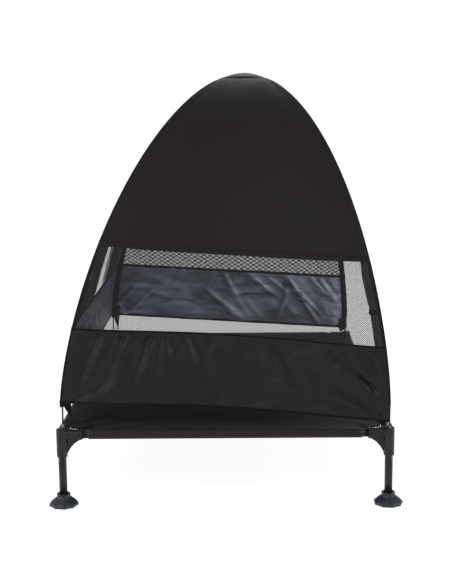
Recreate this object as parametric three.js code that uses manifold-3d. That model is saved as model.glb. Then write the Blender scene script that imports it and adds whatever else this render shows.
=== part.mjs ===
// A raised dog cot with a pop-up canopy: four plug-in legs, a tube frame, a sling sleeved onto
// its rails, and a tent of polyester and mesh held up by two crossing poles.
// Millimetres, +Z up. The origin is on the floor under the middle of the frame.
// +X is across the bed, towards the open doorway, and +Y is along it, away from the front.
import * as THREE from 'three';
import { mergeVertices } from 'three/addons/utils/BufferGeometryUtils.js';
import Module from 'manifold-3d';

const wasm = await Module();
wasm.setup();

// ---------- Driving dimensions ----------

// Frame
const LEG_SPACING_X = 735; // between leg axes across the bed
const LEG_SPACING_Y = 1040; // between leg axes along the bed
const RAIL_HEIGHT = 167; // floor to the rails' axis
const RAIL_RADIUS = 9.5;
const RAIL_WALL = 1;
const LEG_RADIUS = 9;
const LEG_WALL = 1.2;
const CLEARANCE = 0.3; // between pieces that touch

// Corner bracket
const LEG_SOCKET_RADIUS = 12;
const LEG_SOCKET_DEPTH = 40;
const RAIL_SOCKET_RADIUS = 12;
const RAIL_SOCKET_REACH = 47; // from the leg axis to the socket's mouth
const RAIL_SOCKET_START = 13.5; // from the leg axis to the end of the bore
const RAIL_SOCKET_LIP = 0.8;
const RAIL_SOCKET_LIP_WIDTH = 4;
const BRACKET_DROP = 52; // from the rails' axis down to the bracket's mouth
const GUSSET_THICKNESS = 5;
const GUSSET_FOOT = 8; // above the bracket's mouth
const GUSSET_STOP = 3; // short of the rail socket's mouth
const GUSSET_DIP = 20; // of its curve's control point below the rails' axis
const BORE_FACETS = 20;

// Foot
const FOOT_RADIUS = 33;
const FOOT_PAD_RADIUS = 20;
const FOOT_COLLAR_RADIUS = 15.5;
const FOOT_HEIGHT = 28.5;
const FOOT_FLOOR = 9; // thickness under the leg
const FOOT_BORE_PLAY = 0.4; // from the leg to the foot's bore
const FOOT_RIM_LOW = 0.6; // heights of the rim's edge, its widest ring and its upper ring
const FOOT_RIM_MIDDLE = 2.5;
const FOOT_RIM_HIGH = 6;
const FOOT_RIM_ROUND = 1;
const FOOT_SKIRT_TOP = 14; // where the skirt runs into the collar
const FOOT_NECK_HEIGHT = 19.5;
const FOOT_EDGE = 1.5; // bevels of the collar
const FOOT_LOBES = 8;
const FOOT_LOBE_DEPTH = 1.6;
const FOOT_RIM_WAVE = 2;

// Sling
const SLING_THICKNESS = 1.2;
const SLING_SLEEVE_GAP = 0.5; // from the rail to the inside of the sleeve
const SLING_SAG = 10;
const SLING_CUT_REACH = 66; // from the leg axis to the cut's end on each rail
const SLING_CUT_OFFSET = 16; // from each rail's axis to the cut's edge beside the bracket
const SLING_CUT_CORNER = 2.5; // power of the curve where the two edges meet
const SLING_CUT_END = 4; // power of the curve where the edge turns across the rail

// Poles
const POLE_RADIUS = 2;
const POLE_SEGMENTS = 6;
const POLE_TIP_WALL = 1; // over the pole's radius
const POLE_PLAY = 0.4; // from a pole or its tip to the bore around it
const POLE_TIP_RISE = 11; // above the bracket's top
const POLE_SOCKET_DEPTH = 21;
const POLE_SEAT_DEPTH = 7; // the pole's end below the bracket's top
const POLE_END_ANGLE = 0.03; // where the curved part starts
const POLE_SAMPLES = 120; // points along it

// Canopy shell
const CANOPY_HEIGHT = 971; // floor to apex
const CANOPY_OVERHANG = 2; // shell corner outside the leg axis, in X and in Y
const STRAIGHT_TO = 230; // the walls are upright up to this height
const RISE_POWER = 1.53;
const SPAN_POWER = 1.95;
const LEAN = 50; // the apex stands this far towards the doorway
const LEAN_FROM = 200;
const LEAN_POWER = 1.51;
const SEAM_DROP = 24; // the seams are this much lower at the right wall than at X = 0
const HEM_HEIGHT = 216; // of the seams at X = 0
const BAND_TOP_HEIGHT = 380;
const ROOF_HEM_HEIGHT = 564;
const FRONT_BOW = 40; // the front wall's middle is drawn in by this much
const BOW_CENTRE = 400; // the height where it is drawn in most
const ROOF_HEM_SAG = 8;
const CLOTH_THICKNESS = 0.7;
const SEAM_GAP = 0.4;
const NET_FRONT_HALF = 0.27; // the left net's front half starts at this u
const NET_BACK_HALF = -0.1; // and its back half ends at this one
const CORNER_GAP = 1.1; // from the shell's corner to a panel's side edge
const ROOF_TOP_SPAN = 0.05; // share of the base span where the roof panels end
const PATCH_SPAN = 0.09; // share of the base span that the apex patch covers
const PATCH_LIFT = 1.2;
const WALL_ROWS = 5;
const ROOF_ROWS = 16;

// Pole sleeves
const SLEEVE_PLAY = 1.2; // from the pole to the inside of its sleeve
const SLEEVE_THICKNESS = 0.6;
const SLEEVE_TO_SHELL = 1.4; // from the sleeve to the shell's corner, in X and in Y
const SHELL_TO_POLE_TOP = 7.5; // drop of the upper pole's axis from the apex
const SLEEVE_TOP_ANGLE = 1.5; // pole angle, in radians, where the sleeves end
const SLEEVE_STEPS = 30;

// Ties and the gathered door flap
const TIE_WIDTH = 21;
const TIE_NECK_WIDTH = 5;
const TIE_OVERLAP = 30; // length sewn on above the hem
const TIE_STANDOFF = 2.2; // from the inside of the wall
const TIE_DROP = 36; // from the hem down to the neck
const TIE_NECK_INSET = 20; // of the neck from the shell's corner, in X and in Y
const TIE_NECK_OVER_BRACKET = 5;
const ELASTIC_RADIUS = 1.2;
const ELASTIC_HALF_WIDTH = 3;
const ELASTIC_BOTTOM = 17; // below the rails' axis
const FLAP_INSET_X = 15.5; // from the shell's corner to the flap's middle
const FLAP_INSET_Y = 24;
const FLAP_TOP = 536;
const FLAP_BOTTOM = 212;
const FLAP_RADIUS = 11.5;
const FLAP_END_RADIUS = 6.5;
const FLAP_TIE_HEIGHT = 430;
const FLAP_TIE_WIDTH = 14;
const FLAP_TIE_THICKNESS = 1.2;

// ---------- Worked out from them ----------

const LEG_X = LEG_SPACING_X / 2;
const LEG_Y = LEG_SPACING_Y / 2;
const BRACKET_TOP = RAIL_HEIGHT + RAIL_SOCKET_RADIUS;
const BRACKET_BOTTOM = RAIL_HEIGHT - BRACKET_DROP;
const LEG_TOP = BRACKET_BOTTOM + LEG_SOCKET_DEPTH;
const SHELL_X = LEG_X + CANOPY_OVERHANG;
const SHELL_Y = LEG_Y + CANOPY_OVERHANG;
const POLE_TIP_RADIUS = POLE_RADIUS + POLE_TIP_WALL;
const SLEEVE_INNER = POLE_RADIUS + SLEEVE_PLAY;
const SLEEVE_OUTER = SLEEVE_INNER + SLEEVE_THICKNESS;
const SHELL_TO_POLE = SLEEVE_OUTER + SLEEVE_TO_SHELL; // in X and in Y
const POLE_INSET = SHELL_TO_POLE - CANOPY_OVERHANG; // from the leg axis, in X and in Y

// The corners in turn, anticlockwise from above. A quarter turn takes each to the next.
const CORNERS = [
  { name: 'front_left', x: -1, y: -1 },
  { name: 'front_right', x: 1, y: -1 },
  { name: 'back_right', x: 1, y: 1 },
  { name: 'back_left', x: -1, y: 1 },
];

// The walls, with the direction each faces and the way u runs along it.
const WALLS = {
  front: { out: [0, -1], along: [1, 0], bow: FRONT_BOW, sag: ROOF_HEM_SAG, columns: 8 },
  right: { out: [1, 0], along: [0, 1], bow: 0, sag: 0, columns: 2 },
  back: { out: [0, 1], along: [-1, 0], bow: 0, sag: 0, columns: 2 },
  left: { out: [-1, 0], along: [0, -1], bow: 0, sag: 0, columns: 2 },
};

// ---------- Materials ----------

function material(color, roughness, metalness = 0) {
  return new THREE.MeshStandardMaterial({ color, roughness, metalness });
}

const BLACK_PLASTIC = material(0x343638, 0.5);
const FOOT_RUBBER = material(0x303236, 0.7);
const COATED_STEEL = material(0x333638, 0.4, 0.3);
const SLING_CLOTH = material(0x282425, 0.9);
const ROOF_CLOTH = material(0x292728, 0.8);
const BAND_CLOTH = material(0x2b292a, 0.7);
const MESH_CLOTH = material(0x1c1c1e, 0.9);
const SLEEVE_CLOTH = material(0x25262b, 0.8);
const GLASS_FIBRE = material(0x1a1a1b, 0.35);
const BARE_STEEL = material(0x6c6e70, 0.35, 0.9);
const WEBBING = material(0x1d1d20, 0.85);
const FLAP_CLOTH = material(0x46494b, 0.7);

// ---------- Shapes ----------

/** A geometry as a manifold solid. */
function solidOf(geometry) {
  const plain = geometry.clone();
  plain.deleteAttribute('normal');
  plain.deleteAttribute('uv');
  const merged = mergeVertices(plain, 1e-4);
  return new wasm.Manifold(new wasm.Mesh({
    numProp: 3,
    vertProperties: new Float32Array(merged.attributes.position.array),
    triVerts: new Uint32Array(merged.index.array),
  }));
}

/** A manifold solid as a geometry. */
function geometryOf(solid) {
  const mesh = solid.getMesh();
  const geometry = new THREE.BufferGeometry();
  geometry.setAttribute('position', new THREE.BufferAttribute(mesh.vertProperties, 3));
  geometry.setIndex(new THREE.BufferAttribute(mesh.triVerts, 1));
  geometry.computeVertexNormals();
  return geometry;
}

/** A solid rod along +Z, from low to high. */
function rod(radius, low, high, facets = BORE_FACETS) {
  const length = high - low;
  const geometry = new THREE.CylinderGeometry(radius, radius, length, facets);
  return geometry.rotateX(Math.PI / 2).translate(0, 0, low + length / 2);
}

/** A regular polygon as a shape, with a hole of the same kind if inner is given. */
function ringShape(outer, facets, inner = 0) {
  const circle = (radius) => Array.from({ length: facets }, (_, i) => {
    const angle = (2 * Math.PI * i) / facets;
    return new THREE.Vector2(radius * Math.cos(angle), radius * Math.sin(angle));
  });
  const shape = new THREE.Shape(circle(outer));
  if (inner) shape.holes.push(new THREE.Path(circle(inner)));
  return shape;
}

/** A tube, or a rod if inner is 0, along a list of points. */
function alongPoints(points, steps, outer, facets, inner = 0) {
  const path = new THREE.CatmullRomCurve3(points);
  return new THREE.ExtrudeGeometry(ringShape(outer, facets, inner), {
    steps, extrudePath: path, curveSegments: 1, bevelEnabled: false,
  });
}

/** A closed solid through a stack of rings of points, with a point to close each end. */
function ringSolid(rings, firstCentre, lastCentre) {
  const count = rings[0].length;
  const points = [...rings.flat(), firstCentre, lastCentre];
  const first = rings.length * count;
  const index = [];
  for (let r = 0; r + 1 < rings.length; r += 1) {
    for (let i = 0; i < count; i += 1) {
      const a = r * count + i;
      const b = r * count + ((i + 1) % count);
      index.push(a, b, b + count, a, b + count, a + count);
    }
  }
  for (let i = 0; i < count; i += 1) {
    const next = (i + 1) % count;
    index.push(first, next, i);
    index.push(first + 1, first - count + i, first - count + next);
  }
  const geometry = new THREE.BufferGeometry().setFromPoints(points);
  geometry.setIndex(index);
  geometry.computeVertexNormals();
  return geometry;
}

/** Cloth of one thickness under the surface(u, v), which faces along its u cross v. */
function cloth(surface, columns, rows, thickness) {
  const nudge = 1e-3;
  const points = [];
  for (let side = 0; side < 2; side += 1) {
    for (let j = 0; j <= rows; j += 1) {
      for (let i = 0; i <= columns; i += 1) {
        const u = (2 * i) / columns - 1;
        const v = j / rows;
        const point = surface(u, v);
        const alongU = surface(u + nudge, v).sub(surface(u - nudge, v));
        const alongV = surface(u, v + nudge).sub(surface(u, v - nudge));
        const normal = alongU.cross(alongV).normalize();
        points.push(point.addScaledVector(normal, -side * thickness));
      }
    }
  }
  const width = columns + 1;
  const back = width * (rows + 1);
  const index = [];
  const quad = (a, b, c, d) => index.push(a, b, c, a, c, d);
  for (let j = 0; j < rows; j += 1) {
    for (let i = 0; i < columns; i += 1) {
      const a = j * width + i;
      quad(a, a + 1, a + 1 + width, a + width);
      quad(back + a, back + a + width, back + a + 1 + width, back + a + 1);
    }
  }
  for (let i = 0; i < columns; i += 1) {
    const top = rows * width + i;
    quad(i, back + i, back + i + 1, i + 1);
    quad(top, top + 1, back + top + 1, back + top);
  }
  for (let j = 0; j < rows; j += 1) {
    const left = j * width;
    const right = left + columns;
    quad(left, left + width, back + left + width, back + left);
    quad(right, back + right, back + right + width, right + width);
  }
  const geometry = new THREE.BufferGeometry().setFromPoints(points);
  geometry.setIndex(index);
  geometry.computeVertexNormals();
  return geometry;
}

const mix = (a, b, share) => a + (b - a) * share;
const clamp01 = (value) => Math.min(1, Math.max(0, value));

const bed = new THREE.Group();

function add(name, geometry, look) {
  const mesh = new THREE.Mesh(geometry, look);
  mesh.name = name;
  bed.add(mesh);
  return mesh;
}

// ---------- Corner brackets, legs and feet ----------

function bracketGeometry() {
  const mouth = RAIL_SOCKET_REACH - RAIL_SOCKET_LIP_WIDTH;
  const shape = new THREE.Shape();
  const reach = RAIL_SOCKET_REACH - GUSSET_STOP;
  shape.moveTo(0, RAIL_HEIGHT);
  shape.lineTo(0, BRACKET_BOTTOM + GUSSET_FOOT);
  shape.lineTo(LEG_SOCKET_RADIUS + 1, BRACKET_BOTTOM + GUSSET_FOOT);
  shape.quadraticCurveTo(
    reach * 0.55, RAIL_HEIGHT - GUSSET_DIP, reach, RAIL_HEIGHT - RAIL_SOCKET_RADIUS,
  );
  shape.lineTo(reach, RAIL_HEIGHT);
  const gusset = new THREE.ExtrudeGeometry(shape, {
    depth: GUSSET_THICKNESS, bevelEnabled: false, curveSegments: 5,
  }).rotateX(Math.PI / 2).translate(0, GUSSET_THICKNESS / 2, 0);
  const alongX = (geometry) => geometry.rotateY(Math.PI / 2).translate(0, 0, RAIL_HEIGHT);
  const socket = alongX(rod(RAIL_SOCKET_RADIUS, 0, RAIL_SOCKET_REACH));
  const lip = alongX(rod(RAIL_SOCKET_RADIUS + RAIL_SOCKET_LIP, mouth, RAIL_SOCKET_REACH));
  const bore = alongX(rod(RAIL_RADIUS + CLEARANCE, RAIL_SOCKET_START, RAIL_SOCKET_REACH + 1));
  let solid = solidOf(rod(LEG_SOCKET_RADIUS, BRACKET_BOTTOM, BRACKET_TOP));
  const bores = [
    rod(LEG_RADIUS + CLEARANCE, BRACKET_BOTTOM - 1, LEG_TOP),
    rod(POLE_TIP_RADIUS + POLE_PLAY, BRACKET_TOP - POLE_SOCKET_DEPTH, BRACKET_TOP + 1, 12)
      .translate(POLE_INSET, POLE_INSET, 0),
  ];
  for (const turn of [0, Math.PI / 2]) {
    for (const piece of [gusset, socket, lip]) {
      solid = solid.add(solidOf(piece.clone().rotateZ(turn)));
    }
    bores.push(bore.clone().rotateZ(turn));
  }
  for (const hole of bores) solid = solid.subtract(solidOf(hole));
  return geometryOf(solid);
}

function footGeometry() {
  const facets = FOOT_LOBES * 3;
  const ring = (radius, height, lobe = 0, wave = 0) => Array.from({ length: facets }, (_, i) => {
    const angle = (2 * Math.PI * i) / facets;
    const ripple = Math.cos(FOOT_LOBES * angle);
    const r = radius - lobe * (1 - ripple) / 2;
    const z = height + wave * (1 - ripple) / 2;
    return new THREE.Vector3(r * Math.cos(angle), r * Math.sin(angle), z);
  });
  const bore = LEG_RADIUS + FOOT_BORE_PLAY;
  const rings = [
    ring(FOOT_PAD_RADIUS, 0),
    ring(FOOT_RADIUS - FOOT_RIM_ROUND, FOOT_RIM_LOW, FOOT_LOBE_DEPTH, FOOT_RIM_WAVE),
    ring(FOOT_RADIUS, FOOT_RIM_MIDDLE, FOOT_LOBE_DEPTH, FOOT_RIM_WAVE),
    ring(FOOT_RADIUS - FOOT_EDGE, FOOT_RIM_HIGH, FOOT_LOBE_DEPTH, FOOT_RIM_WAVE),
    ring(mix(FOOT_COLLAR_RADIUS, FOOT_RADIUS, 0.45), FOOT_SKIRT_TOP, FOOT_LOBE_DEPTH * 1.4),
    ring(FOOT_COLLAR_RADIUS - FOOT_EDGE, FOOT_NECK_HEIGHT),
    ring(FOOT_COLLAR_RADIUS, FOOT_NECK_HEIGHT + FOOT_EDGE),
    ring(FOOT_COLLAR_RADIUS, FOOT_HEIGHT - FOOT_EDGE),
    ring(FOOT_COLLAR_RADIUS - FOOT_EDGE, FOOT_HEIGHT),
    ring(bore, FOOT_HEIGHT),
    ring(bore, FOOT_FLOOR),
  ];
  return ringSolid(rings, new THREE.Vector3(0, 0, 0), new THREE.Vector3(0, 0, FOOT_FLOOR));
}

function tubeGeometry(radius, wall, low, high) {
  const facets = 16;
  const shape = ringShape(radius, facets, radius - wall);
  const options = { depth: high - low, bevelEnabled: false, curveSegments: 1 };
  return new THREE.ExtrudeGeometry(shape, options).translate(0, 0, low);
}

function tipGeometry() {
  const floor = BRACKET_TOP - POLE_SOCKET_DEPTH + CLEARANCE;
  const seat = BRACKET_TOP - POLE_SEAT_DEPTH - CLEARANCE;
  const top = BRACKET_TOP + POLE_TIP_RISE;
  const bore = POLE_RADIUS + POLE_PLAY;
  const profile = [
    [0, floor], [POLE_TIP_RADIUS - 0.6, floor], [POLE_TIP_RADIUS, floor + 1.2],
    [POLE_TIP_RADIUS, top], [bore, top], [bore, seat], [0, seat],
  ].map(([r, z]) => new THREE.Vector2(r, z));
  return new THREE.LatheGeometry(profile, 12).rotateX(Math.PI / 2);
}

const bracket = bracketGeometry();
const foot = footGeometry();
const legTube = tubeGeometry(LEG_RADIUS, LEG_WALL, FOOT_FLOOR + CLEARANCE, LEG_TOP - CLEARANCE);
const tip = tipGeometry();

CORNERS.forEach((corner, quarter) => {
  const x = corner.x * LEG_X;
  const y = corner.y * LEG_Y;
  const turn = (quarter * Math.PI) / 2;
  const bracketMesh = add(`corner_bracket_${corner.name}`, bracket, BLACK_PLASTIC);
  bracketMesh.position.set(x, y, 0);
  bracketMesh.rotation.z = turn;
  add(`leg_tube_${corner.name}`, legTube, COATED_STEEL).position.set(x, y, 0);
  add(`foot_${corner.name}`, foot, FOOT_RUBBER).position.set(x, y, 0);
  const tipMesh = add(`pole_tip_${corner.name}`, tip, BARE_STEEL);
  tipMesh.position.set(x - corner.x * POLE_INSET, y - corner.y * POLE_INSET, 0);
});

// ---------- Rails and sling ----------

const railGap = RAIL_SOCKET_START + CLEARANCE;
const endReach = LEG_X - railGap;
const sideReach = LEG_Y - railGap;
for (const [name, side] of [['front', -1], ['back', 1]]) {
  const rail = tubeGeometry(RAIL_RADIUS, RAIL_WALL, -endReach, endReach).rotateY(Math.PI / 2);
  add(`end_rail_${name}`, rail, COATED_STEEL).position.set(0, side * LEG_Y, RAIL_HEIGHT);
}
for (const [name, side] of [['left', -1], ['right', 1]]) {
  const rail = tubeGeometry(RAIL_RADIUS, RAIL_WALL, -sideReach, sideReach).rotateX(Math.PI / 2);
  add(`side_rail_${name}`, rail, COATED_STEEL).position.set(side * LEG_X, 0, RAIL_HEIGHT);
}

/** The shape cut out of the sling at a corner, from the leg axis towards the bed's middle. */
function cutShape() {
  const samples = 24;
  const outside = -2 * SLING_CUT_OFFSET;
  const points = [new THREE.Vector2(outside, outside), new THREE.Vector2(SLING_CUT_REACH, outside)];
  for (let i = 0; i <= samples; i += 1) {
    const angle = (Math.PI * i) / (2 * samples);
    const sine = Math.max(Math.sin(angle), 1e-6);
    const cosine = Math.max(Math.cos(angle), 1e-6);
    const beside = SLING_CUT_OFFSET
      * Math.hypot(sine ** (-SLING_CUT_CORNER / 2), cosine ** (-SLING_CUT_CORNER / 2))
      ** (2 / SLING_CUT_CORNER);
    const reach = (beside ** -SLING_CUT_END + SLING_CUT_REACH ** -SLING_CUT_END)
      ** (-1 / SLING_CUT_END);
    points.push(new THREE.Vector2(reach * Math.cos(angle), reach * Math.sin(angle)));
  }
  points.push(new THREE.Vector2(outside, SLING_CUT_REACH));
  return new THREE.Shape(points);
}

function slingGeometry() {
  const inner = RAIL_RADIUS + SLING_SLEEVE_GAP;
  const outer = inner + SLING_THICKNESS;
  const sheet = cloth((u, v) => {
    const along = 2 * v - 1;
    const dip = (1 - u * u) * (1 - along * along);
    return new THREE.Vector3(u * LEG_X, along * LEG_Y, RAIL_HEIGHT + outer - SLING_SAG * dip);
  }, 8, 10, SLING_THICKNESS);
  let solid = solidOf(sheet);
  const sleeves = [];
  for (const side of [-1, 1]) {
    const across = (radius) => rod(radius, -LEG_X, LEG_X, 16).rotateY(Math.PI / 2)
      .translate(0, side * LEG_Y, RAIL_HEIGHT);
    const lengthways = (radius) => rod(radius, -LEG_Y, LEG_Y, 16).rotateX(Math.PI / 2)
      .translate(side * LEG_X, 0, RAIL_HEIGHT);
    sleeves.push(across, lengthways);
  }
  for (const sleeve of sleeves) solid = solid.add(solidOf(sleeve(outer)));
  for (const sleeve of sleeves) solid = solid.subtract(solidOf(sleeve(inner)));
  const options = { depth: RAIL_HEIGHT, bevelEnabled: false, curveSegments: 1 };
  const cut = new THREE.ExtrudeGeometry(cutShape(), options).translate(0, 0, BRACKET_BOTTOM);
  CORNERS.forEach((corner, quarter) => {
    const placed = cut.clone().rotateZ((quarter * Math.PI) / 2)
      .translate(corner.x * LEG_X, corner.y * LEG_Y, 0);
    solid = solid.subtract(solidOf(placed));
  });
  return geometryOf(solid);
}

add('bed_sling', slingGeometry(), SLING_CLOTH);

// ---------- Shape of the canopy ----------

/** The share of the base span left at a height. */
function spanAt(z) {
  const rise = clamp01((z - STRAIGHT_TO) / (CANOPY_HEIGHT - STRAIGHT_TO));
  return (1 - rise ** RISE_POWER) ** (1 / SPAN_POWER);
}

/** How far the middle of the canopy has leant towards the doorway at a height. */
function leanAt(z) {
  return LEAN * clamp01((z - LEAN_FROM) / (CANOPY_HEIGHT - LEAN_FROM)) ** LEAN_POWER;
}

/** How far a wall's middle is drawn in at a height. */
function bowAt(wall, z) {
  const share = (z - BOW_CENTRE) / (CANOPY_HEIGHT - BOW_CENTRE);
  return wall.bow * Math.max(0, Math.cos((share * Math.PI) / 2));
}

/** A point of a wall, u from -1 at one pole to 1 at the next. */
function wallPoint(wall, u, z, inset = 0) {
  const span = spanAt(z);
  const halfX = SHELL_X * span;
  const halfY = SHELL_Y * span;
  const drawn = bowAt(wall, z) * (1 - u * u) ** 2 + inset;
  return new THREE.Vector3(
    leanAt(z) + wall.out[0] * (halfX - drawn) + wall.along[0] * u * (halfX - CORNER_GAP),
    wall.out[1] * (halfY - drawn) + wall.along[1] * u * (halfY - CORNER_GAP),
    z,
  );
}

/** The height of a seam on a wall, for the seam's height at X = 0. */
function seamAt(wall, u, height, sag = 0) {
  const x = leanAt(height) + SHELL_X * spanAt(height) * (wall.out[0] + wall.along[0] * u);
  return height - (SEAM_DROP * x) / SHELL_X - sag * (1 - u * u);
}

/** The height of the hem at a corner. */
function hemAtCorner(corner) {
  return HEM_HEIGHT - SEAM_DROP * corner.x;
}

// ---------- Walls and roof ----------

/** Cloth between two seams of a wall, over a reach of u. */
function wallPanel(wall, low, high, reach = [-1, 1]) {
  const surface = (across, v) => {
    const u = mix(...reach, (across + 1) / 2);
    return wallPoint(wall, u, mix(low(u), high(u), v));
  };
  return cloth(surface, wall.columns, WALL_ROWS, CLOTH_THICKNESS);
}

/** The height where the span has shrunk to a share of the base span. */
function heightAtSpan(span) {
  const rise = (1 - span ** SPAN_POWER) ** (1 / RISE_POWER);
  return mix(STRAIGHT_TO, CANOPY_HEIGHT, rise);
}

const NETS = {
  front: { front: [-1, 1] },
  back: { back: [-1, 1] },
  left: { left_front: [NET_FRONT_HALF, 1], left_back: [-1, NET_BACK_HALF] },
};

/** The angle of the poles' ellipse at a height. */
function angleAt(z) {
  const rise = (z - STRAIGHT_TO) / (CANOPY_HEIGHT - STRAIGHT_TO);
  return Math.asin(rise ** (RISE_POWER / 2));
}

for (const [name, wall] of Object.entries(WALLS)) {
  const hem = (u) => seamAt(wall, u, HEM_HEIGHT);
  const bandTop = (u) => seamAt(wall, u, BAND_TOP_HEIGHT);
  const roofHem = (u) => seamAt(wall, u, ROOF_HEM_HEIGHT, wall.sag);
  const roofTop = heightAtSpan(ROOF_TOP_SPAN);
  if (name !== 'right') {
    add(`lower_band_${name}`, wallPanel(wall, hem, bandTop), BAND_CLOTH);
    const netLow = (u) => bandTop(u) + SEAM_GAP;
    const netHigh = (u) => roofHem(u) - SEAM_GAP;
    for (const [part, reach] of Object.entries(NETS[name])) {
      add(`mesh_window_${part}`, wallPanel(wall, netLow, netHigh, reach), MESH_CLOTH);
    }
  }
  // Rows evenly spaced by pole angle follow the roof's curve better than by height.
  const surface = (u, v) => {
    const angle = mix(angleAt(roofHem(u)), angleAt(roofTop), v);
    const z = mix(STRAIGHT_TO, CANOPY_HEIGHT, Math.sin(angle) ** (2 / RISE_POWER));
    return wallPoint(wall, u, z);
  };
  add(`roof_panel_${name}`, cloth(surface, wall.columns, ROOF_ROWS, CLOTH_THICKNESS), ROOF_CLOTH);
}

const patch = cloth((u, v) => {
  const across = 2 * v - 1;
  const span = Math.max(Math.abs(u), Math.abs(across)) * PATCH_SPAN;
  const z = heightAtSpan(span);
  const x = leanAt(z) + u * PATCH_SPAN * SHELL_X;
  return new THREE.Vector3(x, across * PATCH_SPAN * SHELL_Y, z + PATCH_LIFT + CLOTH_THICKNESS);
}, 6, 6, CLOTH_THICKNESS);
add('apex_patch', patch, SLEEVE_CLOTH);

// ---------- Poles and their sleeves ----------

/** A point of a pole: angle 0 at its front corner, a quarter turn at the apex. */
function polePoint(sideX, angle, drop) {
  const share = Math.abs(Math.cos(angle)) ** (2 / SPAN_POWER);
  const span = share * Math.sign(Math.cos(angle));
  const top = CANOPY_HEIGHT - SHELL_TO_POLE_TOP - drop;
  const z = mix(STRAIGHT_TO, top, Math.sin(angle) ** (2 / RISE_POWER));
  return new THREE.Vector3(
    leanAt(z + SHELL_TO_POLE_TOP) + sideX * (SHELL_X - SHELL_TO_POLE) * span,
    -(SHELL_Y - SHELL_TO_POLE) * span,
    z,
  );
}

/** A whole pole's points, from its seat at the front corner to its seat at the back. */
function polePoints(sideX, drop) {
  const seat = BRACKET_TOP - POLE_SEAT_DEPTH;
  const points = [];
  const upright = (end) => [seat, BRACKET_TOP, BRACKET_TOP + POLE_TIP_RISE].map((z) => (
    new THREE.Vector3(end * sideX * (LEG_X - POLE_INSET), -end * (LEG_Y - POLE_INSET), z)
  ));
  points.push(...upright(1));
  for (let i = 0; i <= POLE_SAMPLES; i += 1) {
    const angle = mix(POLE_END_ANGLE, Math.PI - POLE_END_ANGLE, i / POLE_SAMPLES);
    points.push(polePoint(sideX, angle, drop));
  }
  points.push(...upright(-1).reverse());
  return points;
}

const POLES = [
  { name: 'pole_a', sideX: -1, drop: 0 },
  { name: 'pole_b', sideX: 1, drop: 2 * POLE_RADIUS + CLEARANCE },
];

for (const pole of POLES) {
  const whole = new THREE.CatmullRomCurve3(polePoints(pole.sideX, pole.drop));
  whole.arcLengthDivisions = 2000;
  const trim = CLEARANCE / 2 / whole.getLength();
  for (let i = 0; i < POLE_SEGMENTS; i += 1) {
    const start = i / POLE_SEGMENTS + (i > 0 ? trim : 0);
    const end = (i + 1) / POLE_SEGMENTS - (i + 1 < POLE_SEGMENTS ? trim : 0);
    const steps = 11;
    const points = Array.from({ length: steps * 4 + 1 }, (_, k) => (
      whole.getPointAt(mix(start, end, k / (steps * 4)))
    ));
    add(`${pole.name}_segment_${i + 1}`, alongPoints(points, steps, POLE_RADIUS, 8), GLASS_FIBRE);
  }
}

for (const corner of CORNERS) {
  const sideX = -corner.x * corner.y;
  const drop = POLES.find((pole) => pole.sideX === sideX).drop;
  const low = hemAtCorner(corner) + SEAM_GAP;
  const points = [];
  for (let z = low; z < STRAIGHT_TO - 2; z += 8) {
    points.push(new THREE.Vector3(
      corner.x * (SHELL_X - SHELL_TO_POLE), corner.y * (SHELL_Y - SHELL_TO_POLE), z,
    ));
  }
  for (let i = 0; i <= POLE_SAMPLES; i += 1) {
    const angle = mix(POLE_END_ANGLE, SLEEVE_TOP_ANGLE, i / POLE_SAMPLES);
    const point = polePoint(sideX, corner.y < 0 ? angle : Math.PI - angle, drop);
    if (point.z > low + 0.5) points.push(point);
  }
  const sleeve = alongPoints(points, SLEEVE_STEPS, SLEEVE_OUTER, 6, SLEEVE_INNER);
  add(`pole_sleeve_${corner.name}`, sleeve, SLEEVE_CLOTH);
}

// ---------- Corner ties and their elastic loops ----------

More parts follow.
